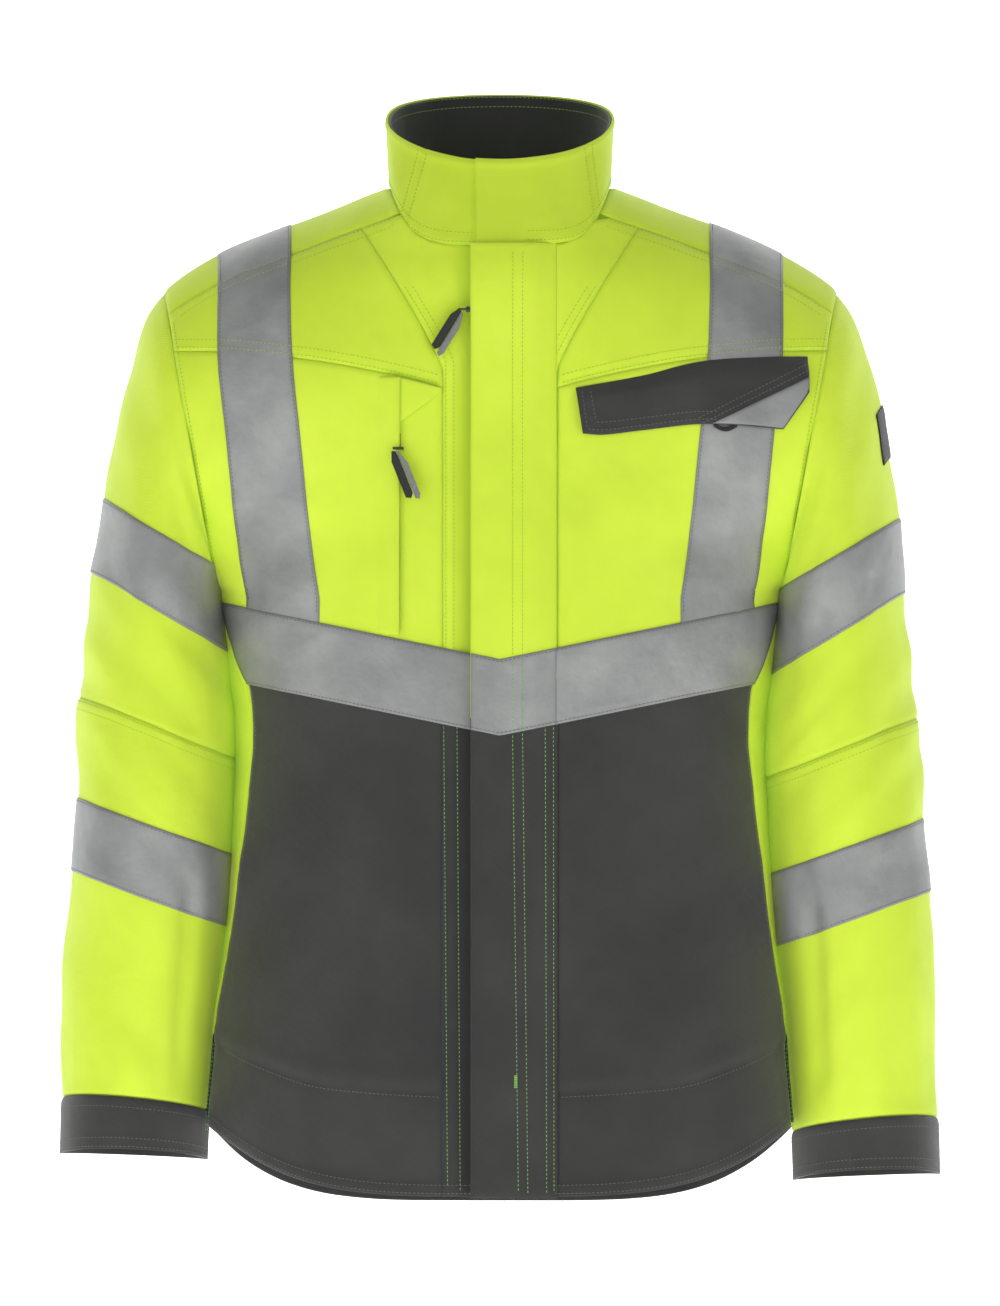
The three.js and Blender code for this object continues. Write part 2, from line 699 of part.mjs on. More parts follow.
const flapLowTop = (x) => colourSeam(x) - seamGap;
stormPiece('storm_flap_lower', flapLowEdge, flapLowTop, 10, dark, flapLayer(0, cloth));
stormPiece('storm_flap_tape', tapeBottom, tapeTop, 2, reflective, flapLayer(cloth + 0.4, tapeThick), 0.6);

// ---- Main zip ----
// Below straightFrom the middle of the front is straight, and the zip and its slider keep to it.

const zipDown = new THREE.Vector3(0, chestDepth - hemDepth, -(straightFrom + hemDrop)).normalize();
const zipOut = new THREE.Vector3(0, -1, 0).addScaledVector(zipDown, zipDown.y).normalize();
const zipLength = hemDrop - mainZipDrop - 6;
const zipTop = frontSheet(zipCentre, -mainZipDrop);
function onZip(across, out, down) {
  return zipTop.clone().add(new THREE.Vector3(across, 0, 0))
    .addScaledVector(zipOut, out).addScaledVector(zipDown, down);
}
for (const [name, side] of sides) {
  const reach = zipHalfGap + 5;
  const section = new THREE.Shape([
    [0.25, -1.4], [0.25, 0.9], [toothWidth, 0.9], [toothWidth, -2.2],
    [reach, -2.2], [reach, -3.1], [toothWidth - 0.6, -3.1], [0.25, -2.6],
  ].map(([x, y]) => new THREE.Vector2(x, y)));
  const strip = new THREE.ExtrudeGeometry(section, { depth: zipLength, steps: 1, bevelEnabled: false });
  add(`main_zip_${name}`, reshape(strip, (x, y, z) => onZip(side * x, y - 0.4, z)), black);
}

const wasm = await Module();
wasm.setup();
function toManifold(geometry) {
  const g = closedSolid(geometry);
  const mesh = new wasm.Mesh({
    numProp: 3,
    vertProperties: Float32Array.from(g.attributes.position.array),
    triVerts: Uint32Array.from(g.index.array),
  });
  return new wasm.Manifold(mesh);
}
function fromManifold(solid) {
  const { vertProperties, triVerts } = solid.getMesh();
  const g = new THREE.BufferGeometry();
  g.setAttribute('position', new THREE.BufferAttribute(Float32Array.from(vertProperties), 3));
  g.setIndex(new THREE.BufferAttribute(Uint32Array.from(triVerts), 1));
  return closedSolid(g);
}
function block(x0, x1, y0, y1, z0, z1) {
  const box = new THREE.BoxGeometry(x1 - x0, y1 - y0, z1 - z0);
  return box.translate((x0 + x1) / 2, (y0 + y1) / 2, (z0 + z1) / 2);
}
function joined(first, ...others) {
  return fromManifold(others.reduce((sum, g) => sum.add(toManifold(g)), toManifold(first)));
}

// A slider straddles a row of teeth: a top plate, two side walls and a bridge for the puller.
// It is drawn with x across, y out from the cloth and z down the zip.
function sliderBlocks(toothHalf, toothTop, toothFoot, length) {
  const wall = 1.4;
  const room = 0.4;
  const half = toothHalf + room;
  const top = toothTop + room;
  return [
    block(-half - wall, half + wall, top, top + 1.5, 0, length),
    block(-half - wall, -half, toothFoot, top + 0.5, 0, length),
    block(half, half + wall, toothFoot, top + 0.5, 0, length),
    block(-1.1, 1.1, top + 1, top + 2.6, length * 0.2, length * 0.85),
  ];
}
const mainSliderLength = 13;
const mainSliderAt = mainSliderDrop - mainZipDrop - mainSliderLength / 2;
const tabLength = 20;
const mainSlider = joined(
  ...sliderBlocks(toothWidth, 0.5, -1.6, mainSliderLength),
  block(-tabLength, 0, 2, 3.1, 4.6, 8.4),
);
add('main_zip_slider', reshape(mainSlider, (x, y, z) => onZip(x, y, mainSliderAt + z)), metal);

// A puller is a flat slanted grip in two colours. It is drawn hanging down z from its hinge.
function pullerHalf(length, wide, thick, share) {
  const [from, to] = share;
  const slant = 5;
  const edge = (w, z) => new THREE.Vector2(lerp(-wide / 2, wide / 2, w), z + slant * (w - 0.5));
  const neck = 0.45;
  const outline = new THREE.Shape([
    edge(lerp(0.5, from, neck), 1.6), edge(lerp(0.5, to, neck), 1.6),
    edge(to, 10), edge(to, length - 4), edge(lerp(from, to, 0.6), length), edge(from, length),
    edge(from, 10),
  ]);
  return new THREE.ExtrudeGeometry(outline, {
    depth: thick - 1,
    bevelEnabled: true,
    bevelThickness: 0.5,
    bevelSize: 0.4,
    bevelOffset: -0.4,
    bevelSegments: 1,
  });
}
function addPuller(name, hinge, turn, length, wide, thick, tilt) {
  const place = new THREE.Matrix4().makeTranslation(hinge.x, hinge.y, hinge.z)
    .multiply(new THREE.Matrix4().makeRotationX(tilt))
    .multiply(new THREE.Matrix4().makeRotationY(turn));
  const put = (x, y, z) => new THREE.Vector3(x, -y, -z).applyMatrix4(place);
  const halves = [['grip', [0, 0.56], black], ['inset', [0.6, 1], grey]];
  for (const [part, share, finish] of halves) {
    const solid = pullerHalf(length, wide, thick, share);
    add(`${name}_${part}`, reshape(solid, (x, y, z) => put(x, z - thick / 2, y)), finish);
  }
}
const frontTilt = Math.atan2(hemDepth - chestDepth, hemDrop + straightFrom);
const mainHinge = onZip(-tabLength - 2.6, 4.4, mainSliderAt + 6.5);
addPuller('main_puller', mainHinge, radians(32), 34, 10, 3.2, -frontTilt);

// ---- Chest zip on the wearer's right ----

const chestZipEnds = [chestZipTop, chestZipBottom].map((drop) => frontSheet(chestZipX, -drop));
const chestDown = chestZipEnds[1].clone().sub(chestZipEnds[0]).normalize();
const chestNormal = standOff(frontSheet, chestZipX, -(chestZipTop + chestZipBottom) / 2, 1, bodyMiddle)
  .sub(frontSheet(chestZipX, -(chestZipTop + chestZipBottom) / 2));
const chestAcross = chestNormal.clone().cross(chestDown).normalize();
if (chestAcross.x < 0) chestAcross.negate();
const chestOut = chestDown.clone().cross(chestAcross).normalize();
if (chestOut.y > 0) chestOut.negate();
const chestLength = chestZipEnds[0].distanceTo(chestZipEnds[1]);
const chestStand = cloth / 2 + 1.9;
function onChestZip(across, out, down) {
  return chestZipEnds[0].clone().addScaledVector(chestAcross, across)
    .addScaledVector(chestOut, out + chestStand).addScaledVector(chestDown, down);
}
const chestChain = block(-2.4, 2.4, 0, 1.6, 0, chestLength);
add('chest_zip_chain', reshape(chestChain, onChestZip), black);
const chestSliderLength = 10;
const chestSliderAt = chestSliderDrop - chestZipTop;
const chestSliderTop = chestSliderAt - chestSliderLength;
const chestSlider = joined(...sliderBlocks(2.4, 1.6, 0.3, chestSliderLength));
add('chest_zip_slider', reshape(chestSlider, (x, y, z) => onChestZip(x, y, chestSliderTop + z)), metal);
const chestHinge = onChestZip(0, 5.4, chestSliderAt + 1.2);
const chestTilt = -Math.atan2(chestZipEnds[0].y - chestZipEnds[1].y, chestZipBottom - chestZipTop);
addPuller('chest_puller', chestHinge, radians(-22), 36, 10, 3.2, chestTilt);

const foldWidth = 30;
const foldHeight = 27;
const zipFold = (u, v) => {
  const wide = lerp(4, foldWidth, v);
  const x = -chestZipX - lerp(0, wide, u);
  return [x, lerp(-chestZipTop + 11 - foldHeight, yokeSeam(x) - 1.5, v)];
};
frontPanel('chest_zip_fold', -1, zipFold, [3, 3], yellow, () => [cloth / 2 + 4.6, cloth / 2 + 5.8]);

// ---- Chest pocket on the wearer's left ----

const pocketIn = 52;
const pocketOut = 208;
const pocketTop = (x) => yokeSeam(x) - 3;
const pocketBottom = -173;
const pocketFlap = patch(
  (u) => [lerp(pocketIn + 6, pocketOut - 16, u), pocketBottom + 2 * u],
  (u) => {
    const x = lerp(pocketIn, pocketOut, u);
    return [x, pocketTop(x)];
  },
  (v) => [lerp(pocketIn + 6, pocketIn, v), lerp(pocketBottom, pocketTop(pocketIn), v)],
  (v) => {
    const corner = 0.5;
    const z = lerp(pocketBottom + 2, pocketTop(pocketOut), v);
    return [pocketOut - 16 * Math.max(1 - v / corner, 0), z];
  },
);
const flapStand = cloth / 2 + strapGap + tapeThick + 1.6;
frontPanel('pocket_flap', 1, pocketFlap, [9, 4], dark, () => [flapStand, flapStand + cloth]);
const reflectorAt = patch(
  (u) => [lerp(pocketIn + 96, pocketOut - 16, u), pocketBottom + 5],
  (u) => {
    const x = lerp(pocketIn + 94, pocketOut - 0.5, u);
    return [x, lerp(pocketBottom + 9, pocketTop(pocketOut) - 14, u)];
  },
  (v) => [pocketIn + lerp(96, 94, v), pocketBottom + lerp(5, 9, v)],
  (v) => [
    lerp(pocketOut - 16, pocketOut - 0.5, Math.min(v * 1.6, 1)),
    lerp(pocketBottom + 5, pocketTop(pocketOut) - 14, v),
  ],
);
const reflectorLayer = () => [flapStand + cloth + 0.8, flapStand + cloth + 0.8 + tapeThick];
frontPanel('flap_reflector', 1, reflectorAt, [5, 3], reflective, reflectorLayer);
const pullLoop = (u, v) => {
  const across = lerp(-11, 11, u);
  const sag = 5 * (1 - (across / 11) ** 2);
  return [pocketIn + 100 + across, pocketBottom - 0.5 - sag - lerp(3, 0, v)];
};
frontPanel('flap_pull_loop', 1, pullLoop, [8, 1], black, () => [flapStand - 0.2, flapStand + 2]);

const bagLayer = () => [-cloth / 2 - 7, -cloth / 2 - 4];
const leftBag = (u, v) => [lerp(pocketIn + 12, pocketOut - 40, u), lerp(-tapeSideDrop, -yokeSeamDrop - 6, v)];
frontPanel('left_pocket_bag', 1, leftBag, [6, 5], dark, bagLayer);
const rightBag = (u, v) => [
  lerp(-chestZipX + 2, -chestZipX + 66, u),
  lerp(-chestZipBottom + 6, -chestZipTop, v),
];
frontPanel('right_pocket_bag', -1, rightBag, [4, 5], dark, bagLayer);

// ---- Sleeves ----

const elbowAt = 0.47;
const cuffTopAt = 1 - cuffHeight / sleeveDrop;
const elbowSlope = 0.4;
const upperTapeAt = 0.239;
const lowerTapeAt = 0.586;
const upperTapeSlope = 0.6;
const lowerTapeSlope = 0.36;
const sleeveGap = 0.0012;       // share of the sleeve length left free at a seam
const armholeGapShare = (cloth + 8.8) / sleeveDrop;  // the same at the armhole
for (const [name, side] of sides) {
  const sheet = sleeveSheet(side);
  const inside = (along) => sleeveMiddle(side, along);
  const cutAt = (angle, cut) => alongAtCut(side, angle, cut);
  const elbow = sleeveCut(side, elbowAt, elbowSlope);
  const upper = (angle, v) => [angle, lerp(armholeGapShare, cutAt(angle, elbow) - sleeveGap, v)];
  const lower = (angle, v) => [angle, lerp(cutAt(angle, elbow) + sleeveGap, cuffTopAt - sleeveGap, v)];
  const cuff = (angle, v) => [angle, lerp(cuffTopAt + sleeveGap, 1, v)];
  add(`${name}_upper_sleeve`, tube(upper, sheet, inside, [20, 9]), yellow);
  add(`${name}_lower_sleeve`, tube(lower, sheet, inside, [20, 6]), yellow);
  add(`${name}_cuff`, tube(cuff, sheet, inside, [20, 1], [-1, 2.2]), dark);
  const bands = [
    ['upper_arm', upperTapeAt, upperTapeSlope, tapeWidth * 1.02],
    ['forearm', lowerTapeAt, lowerTapeSlope, tapeWidth],
  ];
  for (const [part, from, slope, width] of bands) {
    const top = sleeveCut(side, from, slope);
    const bottom = sleeveCut(side, from + width / sleeveDrop, slope);
    const clearOfArmhole = 0.075;
    const band = (angle, v) => {
      const start = Math.max(cutAt(angle, top), clearOfArmhole);
      return [angle, lerp(start, cutAt(angle, bottom), v)];
    };
    const layer = [cloth / 2 + layerGap, cloth / 2 + layerGap + tapeThick];
    add(`${name}_${part}_tape`, tube(band, sheet, inside, [30, 1], layer), reflective);
  }
}

const tabWidth = 28;
const tabHeight = 31;
const tabAt = 0.12;
const armTab = (u, v) => [
  lerp(-tabWidth / 2, tabWidth / 2, u) + 12,
  tabAt + tabHeight / sleeveDrop * (1 - v),
];
const tabMiddle = sleeveMiddle(1, tabAt);
add('sleeve_tab', panel(armTab, sleeveSheet(1), tabMiddle, [4, 3], onCloth), black);

export default jacket;
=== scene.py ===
import json
import math
import bmesh
import bpy
from mathutils import Matrix, Vector, noise

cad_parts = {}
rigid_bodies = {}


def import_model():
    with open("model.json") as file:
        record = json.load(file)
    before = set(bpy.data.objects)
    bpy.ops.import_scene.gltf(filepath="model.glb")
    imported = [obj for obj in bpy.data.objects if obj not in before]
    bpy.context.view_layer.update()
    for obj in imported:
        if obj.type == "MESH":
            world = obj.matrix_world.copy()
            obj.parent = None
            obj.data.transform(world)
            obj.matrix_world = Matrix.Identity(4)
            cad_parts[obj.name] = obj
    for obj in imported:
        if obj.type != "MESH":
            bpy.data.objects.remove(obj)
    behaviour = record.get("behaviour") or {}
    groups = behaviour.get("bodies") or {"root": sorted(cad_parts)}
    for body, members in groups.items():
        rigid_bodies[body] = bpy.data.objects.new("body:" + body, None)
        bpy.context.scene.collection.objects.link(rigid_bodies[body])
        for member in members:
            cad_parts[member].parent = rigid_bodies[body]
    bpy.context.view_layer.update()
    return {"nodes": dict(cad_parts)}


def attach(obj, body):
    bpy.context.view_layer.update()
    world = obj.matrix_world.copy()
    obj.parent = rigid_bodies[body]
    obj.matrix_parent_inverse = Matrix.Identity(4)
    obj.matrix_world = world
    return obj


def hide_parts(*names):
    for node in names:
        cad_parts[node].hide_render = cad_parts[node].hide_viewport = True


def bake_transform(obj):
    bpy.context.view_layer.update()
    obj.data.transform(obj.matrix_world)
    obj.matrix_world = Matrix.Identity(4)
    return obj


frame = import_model()
mm = 0.001
print("frame loaded")

# camera first, straight on to the front of the jacket
shot = {"distance": 16.0, "frontY": -0.15, "height": -0.3216, "tall": 0.888, "sensor": 36}
cameraData = bpy.data.cameras.new("shot")
cameraData.sensor_width = shot["sensor"]
cameraData.lens = shot["sensor"] * shot["distance"] / shot["tall"]
camera = bpy.data.objects.new("shot", cameraData)
camera.location = (0, shot["frontY"] - shot["distance"], shot["height"])
camera.rotation_euler = (math.radians(90), 0, 0)
bpy.context.scene.collection.objects.link(camera)
bpy.context.scene.camera = camera

# the body the cloth hangs on, in millimetres, drops measured down from the hanger loop
body = {
    "midPlane": -44, "squareness": 2.5,
    "neckHalf": 76, "neckFront": 43.5, "neckSide": 3, "neckRise": 2,
    "shoulderHalf": 230, "shoulderDrop": 75,
    "underarmHalf": 195, "underarmDrop": 278,
    "waistHalf": 184, "waistDrop": 391,
    "hemHalf": 205, "hemDrop": 691, "hemRise": 53, "backExtra": 8,
    "chestDepth": 107, "hemDepth": 128, "backDepth": 114, "armhole": 82, "straightFrom": -70,
}


def clamp(value, low=0.0, high=1.0):
    return max(low, min(high, value))


def lerp(a, b, t):
    return a + (b - a) * t


def smooth(t):
    t = clamp(t)
    return t * t * (3 - 2 * t)


def curveThrough(*pairs):
    def slope(i):
        a, b = pairs[max(i - 1, 0)], pairs[min(i + 1, len(pairs) - 1)]
        return (b[1] - a[1]) / (b[0] - a[0])

    slopes = [slope(i) for i in range(len(pairs))]

    def value(at):
        at = clamp(at, pairs[0][0], pairs[-1][0])
        i = 0
        while i < len(pairs) - 2 and at > pairs[i + 1][0]:
            i += 1
        (x0, y0), (x1, y1) = pairs[i], pairs[i + 1]
        w = x1 - x0
        t = (at - x0) / w
        s = 1 - t
        return ((1 + 2 * t) * s * s * y0 + t * s * s * w * slopes[i]
                + t * t * (3 - 2 * t) * y1 - t * t * s * w * slopes[i + 1])

    return value


hemEnd = -body["hemDrop"] - body["backExtra"] - 20
sideBelowArm = curveThrough(
    (hemEnd, body["hemHalf"] + 3), (-body["hemDrop"] + body["hemRise"], body["hemHalf"]),
    (-body["waistDrop"], body["waistHalf"]), (-body["underarmDrop"], body["underarmHalf"]))
frontProfile = curveThrough(
    (body["straightFrom"] - 30, body["chestDepth"] + 1), (body["straightFrom"], body["chestDepth"]),
    (-57, body["chestDepth"] - 1.5), (-body["neckFront"], body["chestDepth"] - 4.3),
    (0, body["chestDepth"] - 4.3))
backProfile = curveThrough(
    (hemEnd, body["backDepth"]), (-body["waistDrop"] - 60, body["backDepth"] - 14),
    (-body["underarmDrop"], body["backDepth"] - 4), (-body["shoulderDrop"] - 60, body["backDepth"] + 4),
    (20, body["backDepth"] - 8))


def armShare(z):
    return (z + body["underarmDrop"]) / (body["underarmDrop"] - body["shoulderDrop"])


def halfWidth(z):
    if z < -body["underarmDrop"]:
        return sideBelowArm(z)
    return lerp(body["underarmHalf"], body["shoulderHalf"], clamp(armShare(z)))


def shoulderLine(x):
    across = abs(x)
    if across < body["neckHalf"]:
        return -body["neckSide"] + 23 * (1 - (across / body["neckHalf"]) ** 2)
    w = (across - body["neckHalf"]) / (body["shoulderHalf"] - body["neckHalf"])
    return -body["neckSide"] - (body["shoulderDrop"] - body["neckSide"]) * (0.8 * w + 0.2 * w ** 6)


def armholeReach(x, z):
    middle = -(body["shoulderDrop"] + body["underarmDrop"]) / 2
    half = (body["underarmDrop"] - body["shoulderDrop"]) / 2
    off = (z - (shoulderLine(x) + body["shoulderDrop"]) * clamp(armShare(z)) - middle) / half
    return body["armhole"] * math.sqrt(1 - off * off) if abs(off) < 1 else 0


def roundOver(x, z, length):
    down = clamp((shoulderLine(x) - z) / length)
    return math.sqrt(1 - (1 - down) ** 2)


def frontDepth(z):
    start = body["straightFrom"]
    if z > start:
        return frontProfile(z)
    return lerp(body["chestDepth"], body["hemDepth"], (start - z) / (start + body["hemDrop"]))


def bodyY(x, z, back):
    across = min(abs(x) / halfWidth(z), 1)
    armhole = armholeReach(x, z) * lerp(smooth((z + body["underarmDrop"]) / 60), 1, across ** 12)
    if back:
        depth = backProfile(z) * roundOver(x, z, 110)
    else:
        depth = frontDepth(z) * min(1, roundOver(x, z, 130) / roundOver(0, z, 130))
    power = lerp(1 / body["squareness"], 1, smooth((z + body["underarmDrop"]) / 78))
    reach = armhole + (depth - armhole) * (1 - across ** body["squareness"]) ** power
    return body["midPlane"] + (reach if back else -reach)


def frontSheet(x, z):
    return Vector((x, bodyY(x, z, False), z))


def backSheet(x, z):
    return Vector((x, bodyY(x, z, True), z))


def roundSheet(angle, z):
    turn = math.radians(angle)
    s = math.sin(turn)
    x = halfWidth(z) * math.copysign(abs(s) ** (2 / body["squareness"]), s)
    return Vector((x, bodyY(x, z, math.cos(turn) < 0), z))


bodyMiddle = Vector((0, body["midPlane"], -250))

# sleeves: along runs from the armhole to the cuff's edge, angle 0 is the outer side and 90 the front
sleeve = {"drop": 589, "sag": 14, "gap": -3.5, "overlap": 2.5, "cuffTall": 38, "cuffHalf": 44, "frontRise": 6}
outerReach = curveThrough((0, 0), (0.03, 12), (0.08, 22), (0.15, 32), (0.24, 41), (0.32, 47),
                          (0.47, 54), (0.67, 64), (0.93, 69), (1, 70))
innerDrop = curveThrough((0, 0), (0.13, 0.02), (0.24, 0.06), (0.32, 0.115), (0.47, 0.285),
                         (0.67, 0.58), (0.93, 0.91), (1, 1))
sleeveDepth = curveThrough(
    (0, body["armhole"]), (0.08, body["armhole"] + 1), (0.24, body["armhole"] - 2),
    (0.47, body["armhole"] - 9), (0.67, body["armhole"] - 17),
    (0.93, sleeve["cuffHalf"] + 5), (1, sleeve["cuffHalf"] + 3))


def sleeveSection(side, along):
    sag = sleeve["sag"] * smooth(along / 0.24) if side > 0 else 0
    outer = (body["shoulderHalf"] + outerReach(along), -body["shoulderDrop"] - sleeve["drop"] * along - sag)
    innerEnd = body["shoulderDrop"] + sleeve["drop"] + 4
    innerZ = -body["underarmDrop"] - (innerEnd - body["underarmDrop"]) * innerDrop(along) - sag
    innerX = halfWidth(min(innerZ,
                           -body["underarmDrop"])) - sleeve["overlap"] + sleeve["gap"] * smooth(along / 0.08)
    return outer, (innerX, innerZ), sleeveDepth(along), body["midPlane"] - 26 * smooth(along)


def sleeveSheet(side):
    def sheet(angle, along):
        outer, inner, depth, y = sleeveSection(side, along)
        a = math.radians(angle)
        c = 0.5 * math.cos(a)
        lift = sleeve["frontRise"] * max(math.sin(a), 0) * smooth((along - 0.86) / 0.14)
        return Vector((
            side * ((outer[0] + inner[0]) / 2 + (outer[0] - inner[0]) * c),
            y - depth * math.sin(a),
            (outer[1] + inner[1]) / 2 + (outer[1] - inner[1]) * c + lift))
    return sheet


def sleeveMiddle(side, along):
    outer, inner, _, y = sleeveSection(side, along)
    return Vector((side * (outer[0] + inner[0]) / 2, y, (outer[1] + inner[1]) / 2))


def alongAtCut(side, angle, start, slope):
    outer = sleeveSection(side, start)[0]
    sheet = sleeveSheet(side)
    low, high = 0.0, 1.0
    for _ in range(14):
        middle = (low + high) / 2
        p = sheet(angle, middle)
        if p.z > outer[1] - slope * (outer[0] - abs(p.x)):
            low = middle
        else:
            high = middle
    return (low + high) / 2


def neckFront(x):
    return -body["neckFront"] + (body["neckFront"] - body["neckSide"]) * (abs(x) / body["neckHalf"]) ** 6


def neckBack(x):
    return body["neckRise"] - (body["neckRise"] + body["neckSide"]) * (x / body["neckHalf"]) ** 2


collar = {"frontRise": 14, "backRise": 62, "lap": 2.6, "forward": -13, "deep": 66}


def collarSheet(angle, up):
    a = math.radians(angle)
    back = math.cos(a) < 0
    x = body["neckHalf"] * math.sin(a)
    z = neckBack(x) if back else neckFront(x)
    base = Vector((x, bodyY(x, z, back), z))
    middle = (collar["frontRise"] + collar["backRise"]) / 2
    rim = Vector((
        (body["neckHalf"] + 2) * math.sin(a),
        body["midPlane"] + collar["forward"] - collar["deep"] * math.cos(a),
        middle - (collar["backRise"] - collar["frontRise"]) / 2 * math.cos(a) + 6 * math.sin(a) ** 2))
    return base.lerp(rim, up)


collarMiddle = Vector((0, body["midPlane"] - 13, 20))


# how far the cloth stands in or out of its smooth shape, so that tapes and threads move with it
folds = {"seed": Vector((3.1, 7.7, 1.9)), "broad": 1.9, "drape": 2.3, "drag": 1.7,
         "sleeve": 4.0, "elbow": 3.8, "groove": 4.0, "pucker": 0.35}


def torsoFold(p):
    q = p * mm
    seed = folds["seed"]
    low = smooth((-p.z - 260) / 380)
    side = smooth(abs(p.x) / 190)
    broad = noise.noise(Vector((q.x * 8, q.y * 5, q.z * 6)) + seed)
    drape = noise.noise(Vector((q.x * 24, q.y * 12, q.z * 3.2)) + seed * 2)
    drag = noise.noise(Vector(((abs(q.x) * 0.75 + q.z * 0.66) * 42, q.y * 9,
                               (q.z * 0.75 - abs(q.x) * 0.66) * 7)))
    calm = max(smooth((58 - abs(p.x)) / 40) * 0.75, 0.95 * smooth((24 - abs(p.x + 71)) / 12))
    return ((folds["broad"] * broad + folds["drape"] * (0.35 + 0.65 * low) * drape) * (1 - calm)
            + (1 - calm) * folds["drag"] * drag * side * (1 - 0.35 * low))


def sleeveFold(side, angle, along):
    a = math.radians(angle)
    free = smooth(along / 0.10) * (1 - smooth((along - 0.90) / 0.04))
    elbow = math.exp(-((along - 0.47) / 0.13) ** 2)
    q = Vector((math.cos(a) * 0.9, math.sin(a) * 0.9, along * 5.5 + 0.7 * math.cos(a))) + folds["seed"] * side
    crease = noise.noise(Vector((math.cos(a) * 0.8, math.sin(a) * 0.8, along * 17 + 1.3 * math.cos(a)))
                         - folds["seed"] * side)
    long = noise.noise(Vector((math.cos(a) * 2.6, math.sin(a) * 2.6, along * 1.6)) + folds["seed"] * side)
    run = smooth((along - 0.60) / 0.08) * (1 - smooth((along - 0.84) / 0.08))
    groove = folds["groove"] * run * math.exp(-((angle - 122 - 20 * (along - 0.7)) / 8) ** 2)
    inner = 1 - 0.6 * smooth((-math.cos(a) - 0.45) / 0.4)
    return free * inner * (folds["sleeve"] * noise.noise(q) + folds["elbow"] * (0.35 + elbow) * crease
                           + 1.5 * long - groove)


def pucker(p, edge):
    return folds["pucker"] * noise.noise(p * 0.13) * math.exp(-edge / 7)


def standOff(sheet, a, b, off, middle, steps):
    point = sheet(a, b)
    da = sheet(a + steps[0], b) - sheet(a - steps[0], b)
    db = sheet(a, b + steps[1]) - sheet(a, b - steps[1])
    normal = da.cross(db).normalized()
    if normal.dot(point - middle) < 0:
        normal.negate()
    return point + normal * off


def torsoLay(sheet, steps=(0.5, 0.5)):
    def lay(a, b, off, edge=100):
        point = sheet(a, b)
        lift = torsoFold(point) + pucker(point, edge)
        return standOff(sheet, a, b, off + lift, bodyMiddle, steps) * mm
    return lay


frontLay = torsoLay(frontSheet)
backLay = torsoLay(backSheet)
roundLay = torsoLay(roundSheet)


def sleeveLay(side):
    sheet = sleeveSheet(side)

    def lay(angle, along, off, edge=100):
        along = clamp(along, 0.0005, 0.9995)
        lift = sleeveFold(side, angle, along) + pucker(sheet(angle, along), edge)
        return standOff(sheet, angle, along, off + lift, sleeveMiddle(side, along), (0.5, 0.0004)) * mm
    return lay


def collarLay(angle, up, off, edge=100):
    ripple = 0.7 * noise.noise(Vector((math.sin(math.radians(angle)) * 3, math.cos(math.radians(angle)) * 3,
                                       up)))
    return standOff(collarSheet, angle, clamp(up, 0.001, 0.999), off + ripple, collarMiddle,
                    (0.5, 0.001)) * mm


# the seams, for the wearer's left, mirrored for the right
seams = {"forwardStart": 69, "forwardArm": 15, "backStart": 60, "backArm": 22, "princessTop": 95,
         "princessHalf": 39, "yokeDrop": 141, "tapeDrop": 286, "chevron": 40, "tapeTall": 52,
         "underTape": 8, "leafTop": -284, "leafLong": 300}


def shoulderSeam(x, start, startDrop, armDrop):
    endZ = -body["shoulderDrop"] - armDrop
    endX = halfWidth(endZ)
    w = clamp((abs(x) - start) / (endX - start))
    return shoulderLine(x) - lerp(startDrop, shoulderLine(endX) - endZ, w)


def forwardSeam(x):
    start = seams["forwardStart"]
    return shoulderSeam(x, start, shoulderLine(start) - neckFront(start), seams["forwardArm"])


def backYokeSeam(x):
    start = seams["backStart"]
    return shoulderSeam(x, start, shoulderLine(start) - neckBack(start), seams["backArm"])


def princessX(z):
    top = forwardSeam(seams["princessTop"])
    up = clamp((z + seams["yokeDrop"] - 12) / (top + seams["yokeDrop"] - 12))
    return seams["princessHalf"] + (seams["princessTop"] - seams["princessHalf"]) * up ** 1.15


def yokeSeam(x):
    w = clamp((x - seams["princessHalf"]) / (body["shoulderHalf"] - 6 - seams["princessHalf"]))
    return -seams["yokeDrop"] + 26 * (1 - (1 - w) ** 2)


def tapeTop(x):
    return -seams["tapeDrop"] - seams["chevron"] * (1 - abs(x) / body["underarmHalf"])


def tapeBottom(x):
    return tapeTop(x) - seams["tapeTall"]


def colourSeam(x):
    return tapeBottom(x) + seams["underTape"]


backTapeTop = -seams["tapeDrop"]
backColourSeam = backTapeTop - 50 + seams["underTape"]


def hemFront(x):
    return -body["hemDrop"] + body["hemRise"] * min(abs(x) / body["hemHalf"], 1.02) ** 3.8


def hemBack(x):
    rise = body["hemRise"] + body["backExtra"]
    return -body["hemDrop"] - body["backExtra"] + rise * min(abs(x) / body["hemHalf"], 1.02) ** 4.5


sideSeamAngle = 76
leafFront = curveThrough((0, 84), (0.18, 65), (0.43, 66), (0.8, 73), (1, sideSeamAngle))
leafBack = curveThrough((0, 96), (0.18, 115), (0.43, 112), (0.8, 93), (1, sideSeamAngle + 0.4))


def leafShare(z):
    return clamp((seams["leafTop"] - z) / seams["leafLong"])


def xAtAngle(angle, z):
    return abs(roundSheet(angle, z).x)


def frontSideX(z):
    return halfWidth(z) if z > seams["leafTop"] else xAtAngle(leafFront(leafShare(z)), z)


def backSideX(z):
    return halfWidth(z) if z > seams["leafTop"] else xAtAngle(leafBack(leafShare(z)), z)


def meet(seam, edge, z):
    for _ in range(30):
        z = seam(edge(z))
    return z


forwardEndZ = meet(forwardSeam, halfWidth, -90)
yokeEndZ = meet(yokeSeam, halfWidth, -115)
colourEndZ = meet(colourSeam, frontSideX, -330)


